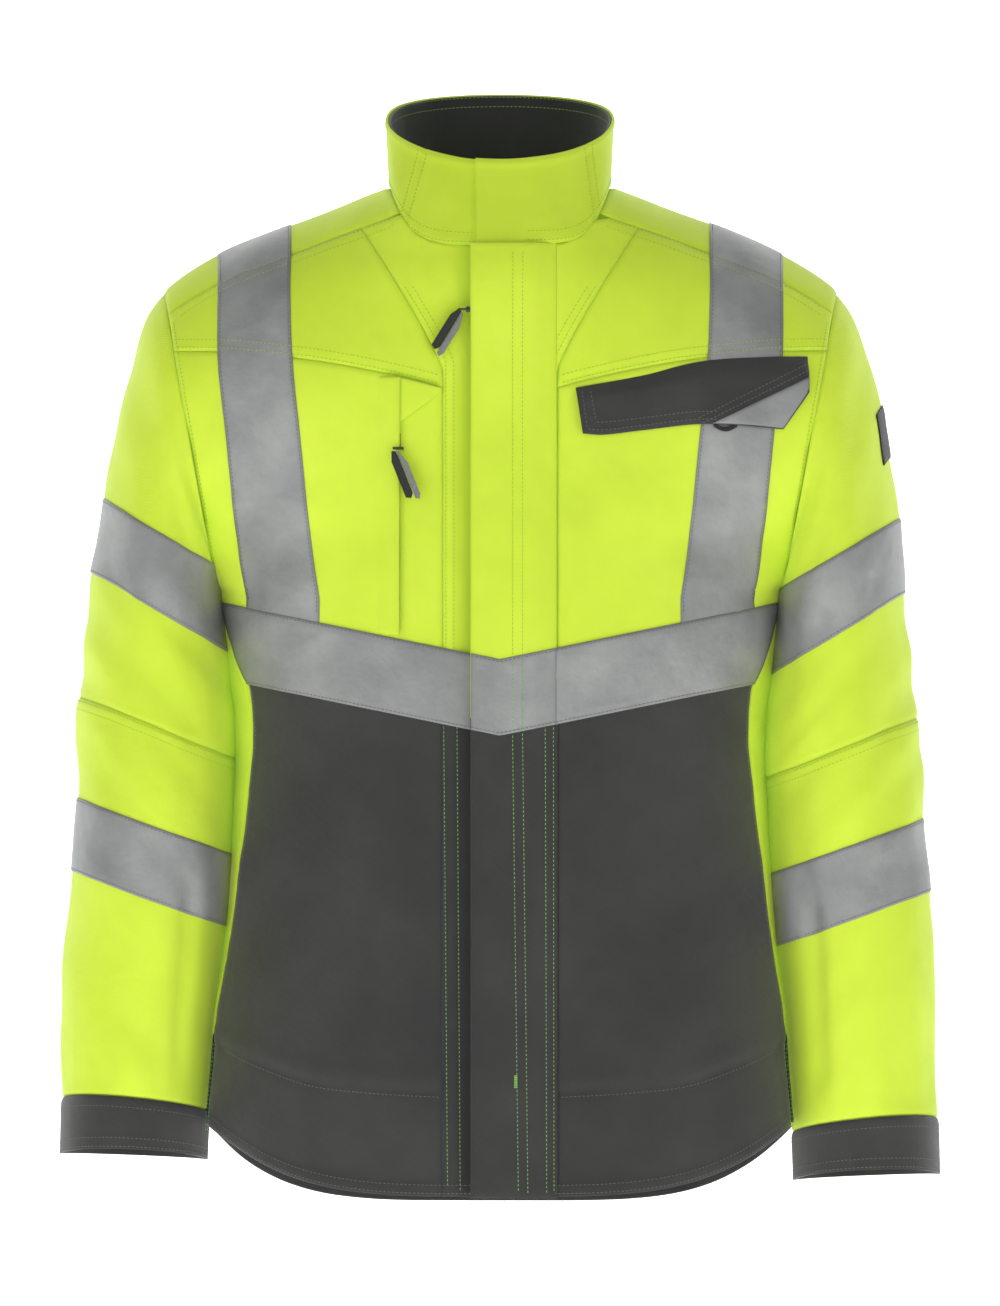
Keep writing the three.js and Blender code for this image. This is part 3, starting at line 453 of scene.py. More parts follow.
def coons(bottom, top, inner, outer):
    def at(u, v):
        return [lerp(inner(v)[k], outer(v)[k], u) + lerp(bottom(u)[k], top(u)[k], v)
                - lerp(lerp(inner(0)[k], outer(0)[k], u), lerp(inner(1)[k], outer(1)[k], u), v) for k in (0,
                                                                                                          1)]
    return at


def mirrored(at, side):
    def flipped(u, v):
        x, z = at(u, v)
        return side * x, z
    return flipped


# materials
def addNode(tree, kind, x=0, y=0, **values):
    made = tree.nodes.new(kind)
    made.location = (x, y)
    for key, value in values.items():
        if hasattr(made, key):
            setattr(made, key, value)
        else:
            made.inputs[key].default_value = value
    return made


def link(tree, a, out, b, into):
    tree.links.new(a.outputs[out], b.inputs[into])


def newGroup(name, ins, outs):
    tree = bpy.data.node_groups.new(name, "ShaderNodeTree")
    for label, value in ins.items():
        socket = tree.interface.new_socket(label, in_out="INPUT", socket_type="NodeSocketFloat")
        socket.default_value = value
    for label in outs:
        tree.interface.new_socket(label, in_out="OUTPUT", socket_type="NodeSocketFloat")
    return tree, addNode(tree, "NodeGroupInput", -900), addNode(tree, "NodeGroupOutput", 700)


# twill: slanting ridges a thread wide, with slubs that come and go
def makeTwill():
    tree, ins, outs = newGroup("twillWeave", {"Threads": 1400, "Slub": 0.5}, ["Height", "Slubs"])
    cloth = addNode(tree, "ShaderNodeUVMap", -900, 300, uv_map="cloth")
    scaled = addNode(tree, "ShaderNodeVectorMath", -700, 200, operation="SCALE")
    link(tree, cloth, "UV", scaled, "Vector")
    link(tree, ins, "Threads", scaled, "Scale")
    ridge = addNode(tree, "ShaderNodeTexWave", -450, 250, bands_direction="DIAGONAL", Scale=0.32,
                    Distortion=0.6,
                    Detail=1.0)
    cross = addNode(tree, "ShaderNodeTexWave", -450, 0, bands_direction="X", Scale=0.5, Distortion=0.4)
    slub = addNode(tree, "ShaderNodeTexNoise", -450, -250, Scale=0.045, Detail=3.0, Roughness=0.6)
    for texture in (ridge, cross, slub):
        link(tree, scaled, "Vector", texture, "Vector")
    both = addNode(tree, "ShaderNodeMath", -150, 150, operation="MULTIPLY_ADD")
    both.inputs[1].default_value = 0.4
    link(tree, cross, "Fac", both, 0)
    link(tree, ridge, "Fac", both, 2)
    slubbed = addNode(tree, "ShaderNodeMath", 100, 50, operation="MULTIPLY_ADD")
    link(tree, slub, "Fac", slubbed, 0)
    link(tree, ins, "Slub", slubbed, 1)
    link(tree, both, "Value", slubbed, 2)
    link(tree, slubbed, "Value", outs, "Height")
    link(tree, slub, "Fac", outs, "Slubs")
    return tree


# wear and painted shade: soft patches all over, and a darkening read from the seam attribute, which holds the
# seam edges and the painted shade beside the storm flap and on the sleeves' inner sides
def makeWearAndShade():
    tree, ins, outs = newGroup("clothWearAndShade", {"Patch": 14, "Seam": 1.0}, ["Patches", "SeamAndPaintedShade", "Crumple"])
    place = addNode(tree, "ShaderNodeTexCoord", -900, 300)
    patch = addNode(tree, "ShaderNodeTexNoise", -600, 300, Detail=4.0, Roughness=0.55)
    link(tree, place, "Object", patch, "Vector")
    link(tree, ins, "Patch", patch, "Scale")
    crumple = addNode(tree, "ShaderNodeTexNoise", -600, 0, Scale=95.0, Detail=3.0, Roughness=0.5)
    link(tree, place, "Object", crumple, "Vector")
    edge = addNode(tree, "ShaderNodeAttribute", -600, -300, attribute_name="seam")
    near = addNode(tree, "ShaderNodeMath", -350, -300, operation="MULTIPLY")
    link(tree, edge, "Fac", near, 0)
    link(tree, ins, "Seam", near, 1)
    # the seam attribute, scaled and broken up by the patches, gives the seam darkening and the painted shade
    broken = addNode(tree, "ShaderNodeMath", -100, -250, operation="MULTIPLY")
    link(tree, near, "Value", broken, 0)
    link(tree, patch, "Fac", broken, 1)
    link(tree, patch, "Fac", outs, "Patches")
    link(tree, broken, "Value", outs, "SeamAndPaintedShade")
    link(tree, crumple, "Fac", outs, "Crumple")
    return tree


twillWeave = makeTwill()
clothWearAndShade = makeWearAndShade()


def colourOf(red, green, blue):
    return [(c / 255 / 12.92 if c <= 10 else ((c / 255 + 0.055) / 1.055) ** 2.4) for c in (red, green,
                                                                                           blue)] + [1]


def newMaterial(name, look):
    material = bpy.data.materials.new(name)
    material.use_nodes = True
    tree = material.node_tree
    shader = tree.nodes["Principled BSDF"]
    for key in ("Roughness", "Metallic", "Sheen Weight", "Sheen Roughness", "Coat Weight",
                "Emission Strength",
                "Coat Roughness", "IOR"):
        if key in look:
            shader.inputs[key].default_value = look[key]
    return material, tree, shader


def rampOf(tree, stops, x, y):
    ramp = addNode(tree, "ShaderNodeValToRGB", x, y)
    elements = ramp.color_ramp.elements
    while len(elements) < len(stops):
        elements.new(0.5)
    for element, (at, colour) in zip(elements, stops):
        element.position = at
        element.color = colourOf(*colour)
    return ramp


# a woven finish: the tone drifts with the patches, darkens along the seams and where shade is painted in, and
# the weave lifts the surface
def clothMaterial(name, look):
    material, tree, shader = newMaterial(name, look)
    weave = addNode(tree, "ShaderNodeGroup", -900, -100, node_tree=twillWeave)
    weave.inputs["Threads"].default_value = look["threads"]
    wearAndShade = addNode(tree, "ShaderNodeGroup", -900, 200, node_tree=clothWearAndShade)
    wearAndShade.inputs["Patch"].default_value = look["patch"]
    wearAndShade.inputs["Seam"].default_value = look["seamShadeStrength"]
    tone = rampOf(tree, [(0.30, look["low"]), (0.52, look["mid"]), (0.74, look["high"])], -600, 300)
    link(tree, wearAndShade, "Patches", tone, "Fac")
    thread = addNode(tree, "ShaderNodeMix", -300, 300, data_type="RGBA", blend_type="MULTIPLY")
    thread.inputs["Factor"].default_value = look["threadTone"]
    link(tree, tone, "Color", thread, 6)
    link(tree, weave, "Height", thread, 7)
    # blend towards the seam colour: darkening along the seams, and painted shade beside the storm flap and on
    # the sleeves' inner sides
    seamAndShadeMix = addNode(tree, "ShaderNodeMix", -50, 300, data_type="RGBA", blend_type="MIX")
    seamAndShadeMix.inputs[7].default_value = colourOf(*look["seamAndShadeColour"])
    link(tree, wearAndShade, "SeamAndPaintedShade", seamAndShadeMix, "Factor")
    link(tree, thread, 2, seamAndShadeMix, 6)
    link(tree, seamAndShadeMix, 2, shader, "Base Color")
    # painted glow: cloth with an emission strength (the hi-vis cloth) glows in its own colour, a brightening
    # that stands in for fluorescence
    if "Emission Strength" in look:
        link(tree, seamAndShadeMix, 2, shader, "Emission Color")
    rough = addNode(tree, "ShaderNodeMapRange", -300, 0)
    rough.inputs["To Min"].default_value = look["Roughness"] - 0.09
    rough.inputs["To Max"].default_value = look["Roughness"] + 0.09
    link(tree, weave, "Slubs", rough, "Value")
    link(tree, rough, "Result", shader, "Roughness")
    coarse = addNode(tree, "ShaderNodeBump", -300, -300, Strength=look["crumple"], Distance=0.0012)
    link(tree, wearAndShade, "Crumple", coarse, "Height")
    fine = addNode(tree, "ShaderNodeBump", -50, -300, Strength=look["weave"], Distance=0.0004)
    link(tree, weave, "Height", fine, "Height")
    link(tree, coarse, "Normal", fine, "Normal")
    link(tree, fine, "Normal", shader, "Normal")
    return material


# each look's seam colour is blended in along the seams and as painted shade, with a strength given per look
clothLooks = {
    "hiVisCloth": {"low": (201, 229, 48), "mid": (210, 237, 55), "high": (217, 243, 66),
                   "seamAndShadeColour": (172, 204, 34),
                   "Roughness": 0.72, "Sheen Weight": 0.15, "Emission Strength": 0.07, "threads": 1500,
                   "patch": 11, "seamShadeStrength": 0.75, "threadTone": 0.10, "crumple": 0.30, "weave": 0.35},
    "darkTwill": {"low": (33, 33, 32), "mid": (42, 42, 40), "high": (52, 52, 50), "seamAndShadeColour": (24, 24, 23),
                  "Roughness": 0.62, "Sheen Weight": 0.30, "threads": 1300,
                  "patch": 13, "seamShadeStrength": 1.1, "threadTone": 0.22, "crumple": 0.30, "weave": 0.5},
    "liningCloth": {"low": (24, 24, 23), "mid": (30, 30, 29), "high": (38, 38, 37),
                    "seamAndShadeColour": (16, 16, 16),
                    "Roughness": 0.55, "Sheen Weight": 0.4, "threads": 1700,
                    "patch": 18, "seamShadeStrength": 0.8, "threadTone": 0.2, "crumple": 0.35, "weave": 0.4},
    "greyTape": {"low": (138, 140, 139), "mid": (152, 154, 153), "high": (168, 170, 168),
                 "seamAndShadeColour": (108, 110, 109),
                 "Roughness": 0.46, "Metallic": 0.25, "threads": 2600,
                 "patch": 22, "seamShadeStrength": 0.9, "threadTone": 0.10, "crumple": 0.7, "weave": 0.25},
    "blackWebbing": {"low": (20, 20, 20), "mid": (27, 27, 27), "high": (36, 36, 35),
                     "seamAndShadeColour": (12, 12, 12),
                     "Roughness": 0.7, "Sheen Weight": 0.2, "threads": 900,
                     "patch": 30, "seamShadeStrength": 0.6, "threadTone": 0.4, "crumple": 0.3, "weave": 0.8},
}
finishes = {name: clothMaterial(name, look) for name, look in clothLooks.items()}


# hard and spun finishes: moulded rubber, lacquered metal, moulded teeth and sewing thread
def hardMaterial(name, look):
    material, tree, shader = newMaterial(name, look)
    place = addNode(tree, "ShaderNodeTexCoord", -900, 200)
    grain = addNode(tree, "ShaderNodeTexNoise", -650, 200, Scale=look["grain"], Detail=4.0, Roughness=0.6)
    link(tree, place, "Object", grain, "Vector")
    tone = rampOf(tree, [(0.35, look["low"]), (0.65, look["high"])], -400, 250)
    link(tree, grain, "Fac", tone, "Fac")
    link(tree, tone, "Color", shader, "Base Color")
    rough = addNode(tree, "ShaderNodeMapRange", -400, 0)
    rough.inputs["To Min"].default_value = look["Roughness"] - 0.08
    rough.inputs["To Max"].default_value = look["Roughness"] + 0.08
    link(tree, grain, "Fac", rough, "Value")
    link(tree, rough, "Result", shader, "Roughness")
    bump = addNode(tree, "ShaderNodeBump", -400, -250, Strength=look["bump"], Distance=0.0003)
    link(tree, grain, "Fac", bump, "Height")
    link(tree, bump, "Normal", shader, "Normal")
    return material


hardLooks = {
    "blackRubber": {"low": (22, 22, 23), "high": (34, 34, 35), "Roughness": 0.5, "grain": 900, "bump": 0.3},
    "greyRubber": {"low": (112, 115, 118), "high": (132, 135, 138), "Roughness": 0.5, "grain": 900,
                   "bump": 0.3},
    "darkMetal": {"low": (58, 60, 62), "high": (96, 98, 100), "Roughness": 0.34, "Metallic": 0.9,
                  "grain": 420,
                  "bump": 0.15},
    "toothPlastic": {"low": (20, 20, 20), "high": (38, 38, 38), "Roughness": 0.38, "Coat Weight": 0.2,
                     "grain": 700,
                     "bump": 0.2},
    "greenThread": {"low": (116, 184, 76), "high": (158, 216, 108), "Roughness": 0.6, "Sheen Weight": 0.3,
                    "grain": 2600, "bump": 0.8},
    "limeThread": {"low": (150, 192, 30), "high": (186, 224, 44), "Roughness": 0.6, "grain": 2600,
                   "bump": 0.8,
                   "Sheen Weight": 0.2},
    "greyThread": {"low": (84, 85, 86), "high": (118, 119, 120), "Roughness": 0.6, "Sheen Weight": 0.3,
                   "grain": 2600, "bump": 0.8},
}
finishes.update({name: hardMaterial(name, look) for name, look in hardLooks.items()})
print("materials made")

# the two sides by name, and how a made piece joins its body: sleeve, storm flap and pocket flap pieces are
# baked in place unparented, the rest are parented to their body
sideName = {-1: "right", 1: "left"}


def follow(obj, body):
    if body in ("right_sleeve", "left_sleeve"):
        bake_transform(obj)
    elif body == "storm_flap":
        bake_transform(obj)
    elif body == "pocket_flap":
        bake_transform(obj)
    else:
        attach(obj, body)


def finishPiece(bm, name, finish, body, nodes=()):
    mesh = bpy.data.meshes.new(name)
    bm.to_mesh(mesh)
    bm.free()
    for polygon in mesh.polygons:
        polygon.use_smooth = True
    obj = bpy.data.objects.new(name, mesh)
    bpy.context.scene.collection.objects.link(obj)
    mesh.materials.append(finishes[finish])
    if nodes:
        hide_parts(*nodes)
    follow(obj, body)
    return obj


# a grid that packs its rows near the edges, laid on a sheet; size is its width and height in millimetres
def clothPiece(name, at, lay, size, finish, nodes, body="jacket", thick=1.0, off=0.0, tuck=1.1, pitch=4.0,
               uvScale=(1, 1), closed=False, shape=None, loose=(), shade=None):
    wide, tall = size
    columns, rows = max(4, round(wide / pitch)), max(3, round(tall / pitch))
    bm = bmesh.new()
    bmesh.ops.create_grid(bm, x_segments=columns, y_segments=rows, size=0.5)
    uv = bm.loops.layers.uv.new("cloth")
    seam = bm.verts.layers.float.new("seam")
    spots = {}

    def crowd(t, even=False):
        return t if even else t - 0.62 * math.sin(2 * math.pi * t) / (2 * math.pi)

    for vert in bm.verts:
        u, v = crowd(vert.co.x + 0.5, closed), crowd(vert.co.y + 0.5)
        ends = [v * tall if "low" not in loose else 99, (1 - v) * tall if "high" not in loose else 99]
        if not closed:
            ends += [u * wide if "left" not in loose else 99, (1 - u) * wide if "right" not in loose else 99]
        edge = min(ends)
        dip = tuck * math.exp(-(edge / 1.9) ** 2)
        a, b = at(u, v)
        lift = off - dip + (shape(u, v, a, b) if shape else 0)
        vert.co = lay(a, b, lift, edge)
        # seam attribute: darkening along the piece's edges, and painted shade wherever a shade function is
        # given
        vert[seam] = max(math.exp(-edge / 1.5), shade(a) if shade else 0)
        spots[vert] = (a * uvScale[0] * mm, b * uvScale[1] * mm)
    for face in bm.faces:
        for loop in face.loops:
            loop[uv].uv = spots[loop.vert]
    if closed:
        bmesh.ops.remove_doubles(bm, verts=bm.verts, dist=1e-6)
    bm.normal_update()
    middle = bodyMiddle if lay in (frontLay, backLay, roundLay) else None
    outward = 0
    for face in bm.faces:
        centre = face.calc_center_median()
        way = insideOf(lay, centre) if middle is None else middle * mm
        outward += face.normal.dot(centre - way) * face.calc_area()
    if outward < 0:
        bmesh.ops.reverse_faces(bm, faces=bm.faces)
    area = sum(face.calc_area() for face in bm.faces)
    obj = finishPiece(bm, name, finish, body, nodes)
    solid = obj.modifiers.new("thickness", "SOLIDIFY")
    solid.thickness = thick * mm
    solid.offset = -1
    solid.use_even_offset = False
    flat = [round((side + 2 * min(seamAllowance, side * 0.05)) * mm, 4) for side in size]
    whole = flat[0] * flat[1]
    if min(flat) < 0.01:       # a ribbon, not a sheet
        return obj
    clamp(area * 1.03, 0.31 * whole, whole)
    sheetSizes[name] = (*flat, round(area / whole, 2))
    return obj


seamAllowance = 8       # millimetres folded under at each edge of a panel
sheetSizes = {}


def insideOf(lay, centre):
    if lay is collarLay:
        return collarMiddle * mm
    side = 1 if centre.x > 0 else -1
    along = clamp((-centre.z / mm - body["shoulderDrop"]) / sleeve["drop"], 0.02, 1)
    return sleeveMiddle(side, along) * mm


# fronts
zipPlace = {"centre": -3, "halfGap": 8}
pocketLine = curveThrough((36, -622), (92, -618.8), (130, -614), (167, -601), (190, -590))
stormFlap = {"free": -20, "sewn": 38.6, "stand": 6.4, "shadow": 9, "dip": 2.4}


def centreFront(side):
    inner = side * zipPlace["centre"] + zipPlace["halfGap"]
    share = 0.42

    def at(u, v):
        half = seams["princessHalf"]
        low = colourSeam(lerp(inner, half, u))
        upper = clamp((v - share) / (1 - share))
        if v < share:
            z = lerp(low, -seams["yokeDrop"], v / share)
        else:
            x = lerp(inner, seams["princessTop"], u)
            top = neckFront(x) if x < seams["forwardStart"] else forwardSeam(x)
            z = lerp(-seams["yokeDrop"], top, upper)
        edgeZ = lerp(-seams["yokeDrop"], forwardSeam(seams["princessTop"]), upper)
        return lerp(inner, princessX(edgeZ), u), z
    return at


def frontYoke(u, v):
    half, top = seams["princessHalf"], seams["princessTop"]
    topZ = forwardSeam(top)

    def low(t):
        x = lerp(half, halfWidth(yokeEndZ), t)
        return x, yokeSeam(x)

    def high(t):
        x = lerp(top, halfWidth(forwardEndZ), t)
        return x, forwardSeam(x)

    def inner(t):
        z = lerp(-seams["yokeDrop"], topZ, t)
        return princessX(z), z

    def outer(t):
        z = lerp(yokeEndZ, forwardEndZ, t)
        return halfWidth(z), z
    return coons(low, high, inner, outer)(u, v)


def chestPanel(u, v):
    half = seams["princessHalf"]

    def low(t):
        x = lerp(half, frontSideX(colourEndZ), t)
        return x, colourSeam(x)

    def high(t):
        x = lerp(half, halfWidth(yokeEndZ), t)
        return x, yokeSeam(x)

    def inner(t):
        return half, lerp(colourSeam(half), -seams["yokeDrop"], t)

    def outer(t):
        z = lerp(colourEndZ, yokeEndZ, t)
        return frontSideX(z), z
    return coons(low, high, inner, outer)(u, v)


def frontBand(side):
    inner = side * zipPlace["centre"] + zipPlace["halfGap"]

    def at(u, v):
        x = lerp(inner, seams["princessHalf"], u)
        return x, lerp(hemFront(x), colourSeam(x), v)
    return at


sideHemX = xAtAngle(sideSeamAngle, -body["hemDrop"] + body["hemRise"])


def lowerFront(u, v):
    half = seams["princessHalf"]

    def low(t):
        x = lerp(half, sideHemX, t)
        return x, hemFront(x)

    def high(t):
        x = lerp(half, frontSideX(colourEndZ), t)
        return x, colourSeam(x)

    def inner(t):
        return half, lerp(hemFront(half), colourSeam(half), t)

    def outer(t):
        z = lerp(hemFront(sideHemX), colourEndZ, t)
        return frontSideX(z), z
    return coons(low, high, inner, outer)(u, v)


# the pocket's mouth is a welt that stands a little proud, with a dip along its lower edge
def pocketWelt(u, v, a, b):
    below = b - pocketLine(abs(a))
    return 0.9 * math.exp(-((below - 9) / 7) ** 2) - 1.1 * math.exp(-(below / 1.8) ** 2)


def hemRoll(u, v, a, b):
    up = b - hemFront(abs(a))
    return 0.5 * math.exp(-((up - 5) / 4) ** 2)


def hemThread(x, z):
    return 0.15 + hemRoll(0, 0, x, z)


def lowerShape(u, v, a, b):
    return pocketWelt(u, v, a, b) + hemRoll(u, v, a, b)


def shoulderYoke(side):
    def surface(u, v):
        over = 2 * v - 1
        back = over > 0
        neck = body["neckHalf"]
        neckX = neck - (neck - (seams["backStart"] if back else seams["forwardStart"])) * over ** 2
        neckZ = neckBack(neckX) if back else neckFront(neckX)
        armZ = -body["shoulderDrop"] - (seams["backArm"] if back else seams["forwardArm"]) * over ** 2
        armX = halfWidth(armZ)
        x = lerp(neckX, armX, clamp(u))
        drop = lerp(shoulderLine(neckX) - neckZ, shoulderLine(armX) - armZ, clamp(u))
        z = shoulderLine(x) - max(drop, 0)
        return Vector((side * x, bodyY(x, z, back), z))
    return surface


# painted shadow: a band on the right front beside the storm flap's free edge, darkened as if shaded by the flap
def paintedFlapShadow(x):
    return 1.7 * smooth((x - stormFlap["free"] + stormFlap["shadow"]) / stormFlap["shadow"])


def flapDip(u, v, a, b):
    return -stormFlap["dip"] * smooth((a - stormFlap["free"] + 16) / 14) if a < 0 else 0


def bandShape(u, v, a, b):
    return hemRoll(u, v, a, b) + flapDip(u, v, a, b)


for side, name in sideName.items():
    # the right front's pieces get a painted shadow beside the storm flap's free edge
    shade = paintedFlapShadow if side < 0 else None
    clothPiece(name + "CentreFront", mirrored(centreFront(side), side), frontLay, (52, 290), "hiVisCloth",
               [name + "_centre_front"], shape=flapDip, loose=("left",), shade=shade)
    clothPiece(name + "FrontYoke", mirrored(frontYoke, side), frontLay, (165, 72), "hiVisCloth",
               [name + "_front_yoke"])
    clothPiece(name + "ChestPanel", mirrored(chestPanel, side), frontLay, (165, 225), "hiVisCloth",
               [name + "_chest_panel"])
    clothPiece(name + "FrontBand", mirrored(frontBand(side), side), frontLay, (38, 335), "darkTwill",
               [name + "_front_band"], shape=bandShape, loose=("left", "low"), shade=shade)
    clothPiece(name + "LowerFront", mirrored(lowerFront, side), frontLay, (205, 330), "darkTwill",
               [name + "_lower_front"], shape=lowerShape, loose=("low",))
    yokeLay = torsoLay(shoulderYoke(side), (0.004, 0.004))
    clothPiece(name + "ShoulderYoke", lambda u, v: (u, v), yokeLay, (175, 112), "hiVisCloth",
               [name + "_shoulder_yoke"], uvScale=(170, 62), pitch=3.2)

    def sideLeaf(u, v):
        share = lerp(0.995, 0.0, v)
        z = seams["leafTop"] - seams["leafLong"] * share
        return side * lerp(leafFront(share), leafBack(share), u), z
    clothPiece(name + "SidePanel", sideLeaf, roundLay, (95, 300), "hiVisCloth", [name + "_side_panel"],
               uvScale=(2, 1))

# back


def backUpper(u, v):
    w = 2 * u - 1
    endZ = -body["shoulderDrop"] - seams["backArm"]
    topX = halfWidth(endZ) * w
    topZ = neckBack(topX) if abs(topX) < seams["backStart"] else backYokeSeam(topX)
    rise = 1 - (1 - v) ** 1.5
    return backSideX(lerp(backColourSeam, endZ, rise)) * w, lerp(backColourSeam, topZ, rise)


def backLower(u, v):
    low = -body["hemDrop"] + body["hemRise"] - 4
    edgeZ = lerp(low, backColourSeam, v)
    edge = leafBack(leafShare(edgeZ)) if edgeZ > seams["leafTop"] - seams["leafLong"] else sideSeamAngle + 0.4
    angle = lerp(edge, 360 - edge, u)
    x = roundSheet(angle, low).x
    bottom = hemBack(x) if 90 < angle < 270 else low
    return angle, lerp(bottom, backColourSeam, v)


def backHemRoll(u, v, a, b):
    return 0.5 * math.exp(-((v * 380 - 5) / 4) ** 2)


clothPiece("backUpper", backUpper, backLay, (440, 300), "hiVisCloth", ["back_upper"])
clothPiece("backLower", backLower, roundLay, (520, 400), "darkTwill", ["back_lower"], uvScale=(2, 1),
           shape=backHemRoll, loose=("low",))
print("torso made")

# tapes lie on the cloth, with a flat edge and a faint quilting where they are sewn down
tape = {"off": 0.75, "thick": 0.7, "pitch": 4.0}


def tapeRidge(wide):
    def shape(u, v, a, b):
        edge = min(v, 1 - v) * wide
        return 0.35 * smooth((edge - 1.5) / 2.5) + 0.30 * noise.noise(Vector((a * 0.09, b * 0.05, 3)))
    return shape


def chestTape(side):
    start = -stormFlap["free"] - 4 if side < 0 else stormFlap["sewn"] - 4

    def at(u, v):
        low, high = meet(tapeBottom, frontSideX, -338), meet(tapeTop, frontSideX, -286)
        end = lerp(frontSideX(low), frontSideX(high) - 0.5, v)
        x = lerp(start, end, u)
        return x, lerp(tapeBottom(x), tapeTop(x), v)
    return at


shoulderTapeMiddle = curveThrough((-286, 148), (-246, 154), (-178, 161), (-118, 167), (-40, 168))


def shoulderTape(side, back):
    def surface(u, v):
        low = backTapeTop - 3 if back else tapeTop(148 + lerp(-25, 25, u)) - 3
        left = (1 - clamp(v)) ** 1.6
        middle = shoulderTapeMiddle(low + (shoulderLine(168) - low) * (1 - left))
        x = middle + lerp(-25, 25, u)
        z = shoulderLine(x) - (shoulderLine(x) - low - 0.2) * left
        return Vector((side * x, bodyY(x, z, back), z))
    return surface


for side, name in sideName.items():
    clothPiece(name + "ChestTape", mirrored(chestTape(side), side), frontLay, (175, 52), "greyTape",
               [name + "_chest_tape"], off=tape["off"] + 0.35, thick=tape["thick"], tuck=0.25,
               shape=tapeRidge(52))
    for back, node, label in ((False, "_shoulder_tape", "ShoulderTape"),
                              (True, "_back_strap_tape", "BackStrapTape")):
        clothPiece(name + label, lambda u, v: (u, v * 0.998),
                   torsoLay(shoulderTape(side, back), (0.004, 0.004)),
                   (50, 262 if not back else 250), "greyTape", [name + node], off=tape["off"] + 0.15,
                   thick=tape["thick"], tuck=0.25, uvScale=(50, 260), loose=("high",))
clothPiece("backTape", lambda u, v: ((backSideX(lerp(backTapeTop - 50, backTapeTop, v)) - 0.5) * (2 * u - 1),
                                     lerp(backTapeTop - 50, backTapeTop, v)),
           backLay, (420, 50), "greyTape", ["back_tape"], off=tape["off"] + 0.35, thick=tape["thick"],
           tuck=0.25,
           shape=tapeRidge(50))
print("tapes made")

# storm flap: it lies over the zip from its sewn edge, a little arched, with a raised fold at its free edge


def flapAt(bottomZ, topZ, inset=0.0):
    def at(u, v):
        x = lerp(stormFlap["free"] + inset, stormFlap["sewn"] - inset, u)
        return x, lerp(bottomZ(x), topZ(x), v)
    return at


def flapArch(extra=0.0):
    def shape(u, v, a, b):
        x = a
        lift = lerp(0.9, stormFlap["stand"], smooth((stormFlap["sewn"] - x) / 20))
        rows = sum(math.exp(-((x - row) / 1.0) ** 2) for row in (8.5, 15.5))
        return lift + extra + 0.5 * noise.noise(Vector((x * 0.03, b * 0.016, 5))) - 0.45 * rows
    return shape


clothPiece("stormFlapUpper", flapAt(colourSeam, lambda x: -body["neckFront"] + 1), frontLay, (55, 300),
           "hiVisCloth",
           ["storm_flap_upper"], body="storm_flap", shape=flapArch(), tuck=0.7, pitch=2.8, thick=1.6)
clothPiece("stormFlapLower", flapAt(lambda x: hemFront(x) - 1, colourSeam), frontLay, (55, 328), "darkTwill",
           ["storm_flap_lower"], body="storm_flap", shape=flapArch(), tuck=0.7, pitch=2.8, thick=1.6)
clothPiece("stormFlapTape", flapAt(tapeBottom, tapeTop, 0.3), frontLay, (55, 52), "greyTape",
           ["storm_flap_tape"], body="storm_flap", shape=lambda u, v, a, b: flapArch(0.9)(u, v, a, b)
           - 0.8 * math.exp(-((a + 1.4) / 0.8) ** 2), tuck=0.25, pitch=2.4, thick=0.7)

# collar, its lap and its lining
lapEnd, lapStart = [math.degrees(math.asin(x / body["neckHalf"])) for x in (15, -16)]


collarSeams = {-1: (-57.4, -40.8), 1: (59.0, 48.6)}      # where the leaning seams stand at the neck and the rim


def collarRib(u, v, a, b):
    edge = (1 - v) * 56
    neck, rim = collarSeams[-1 if a < 0 else 1]
    away = (a - lerp(neck, rim, b)) * 1.33
    return 0.8 * math.exp(-((edge - 3.5) / 2.5) ** 2) - 0.9 * math.exp(-(away / 1.1) ** 2)


def lapLift(u, v, a, b):
    return collarRib(u, v, a, b) + collar["lap"] * (1 - smooth((a - lapEnd - 4) / 40))


clothPiece("rightCollar", lambda u, v: (lerp(-180, lapEnd, u), lerp(0.0, 1, v)), collarLay, (265, 58),
           "hiVisCloth",
           ["right_collar"], shape=collarRib, uvScale=(1.4, 56), thick=1.6, pitch=1.9, loose=("high",))
clothPiece("leftCollar", lambda u, v: (lerp(lapStart, 180, u), lerp(0.0, 1, v)), collarLay, (265, 58),
           "hiVisCloth",
           ["left_collar"], shape=lapLift, uvScale=(1.4, 56), thick=1.6, pitch=1.9, loose=("high", "left"))
clothPiece("collarLining", lambda u, v: (lerp(10, 350, u), lerp(0.02, 0.985, v)), collarLay, (440, 60),
           "liningCloth",
           ["collar_lining"], off=-1.9, uvScale=(1.4, 56), thick=0.9, pitch=3.6, tuck=0.3)
print("collar made")

# sleeves
sleeveCuts = {"elbow": (0.47, 0.4), "upperTape": (0.239, 0.6, 51), "forearmTape": (0.586, 0.36, 50)}
cuffTop = 1 - sleeve["cuffTall"] / sleeve["drop"]


def cuffTopAt(angle):
    # the cuff's seam arches a little over the front
    return cuffTop - 0.006 * max(math.sin(math.radians(angle)), 0)


def paintedSleeveShade(angle):
    return 1.5 * smooth((angle - 108) / 42)     # painted shade on the sleeve's inner side, next to the jacket
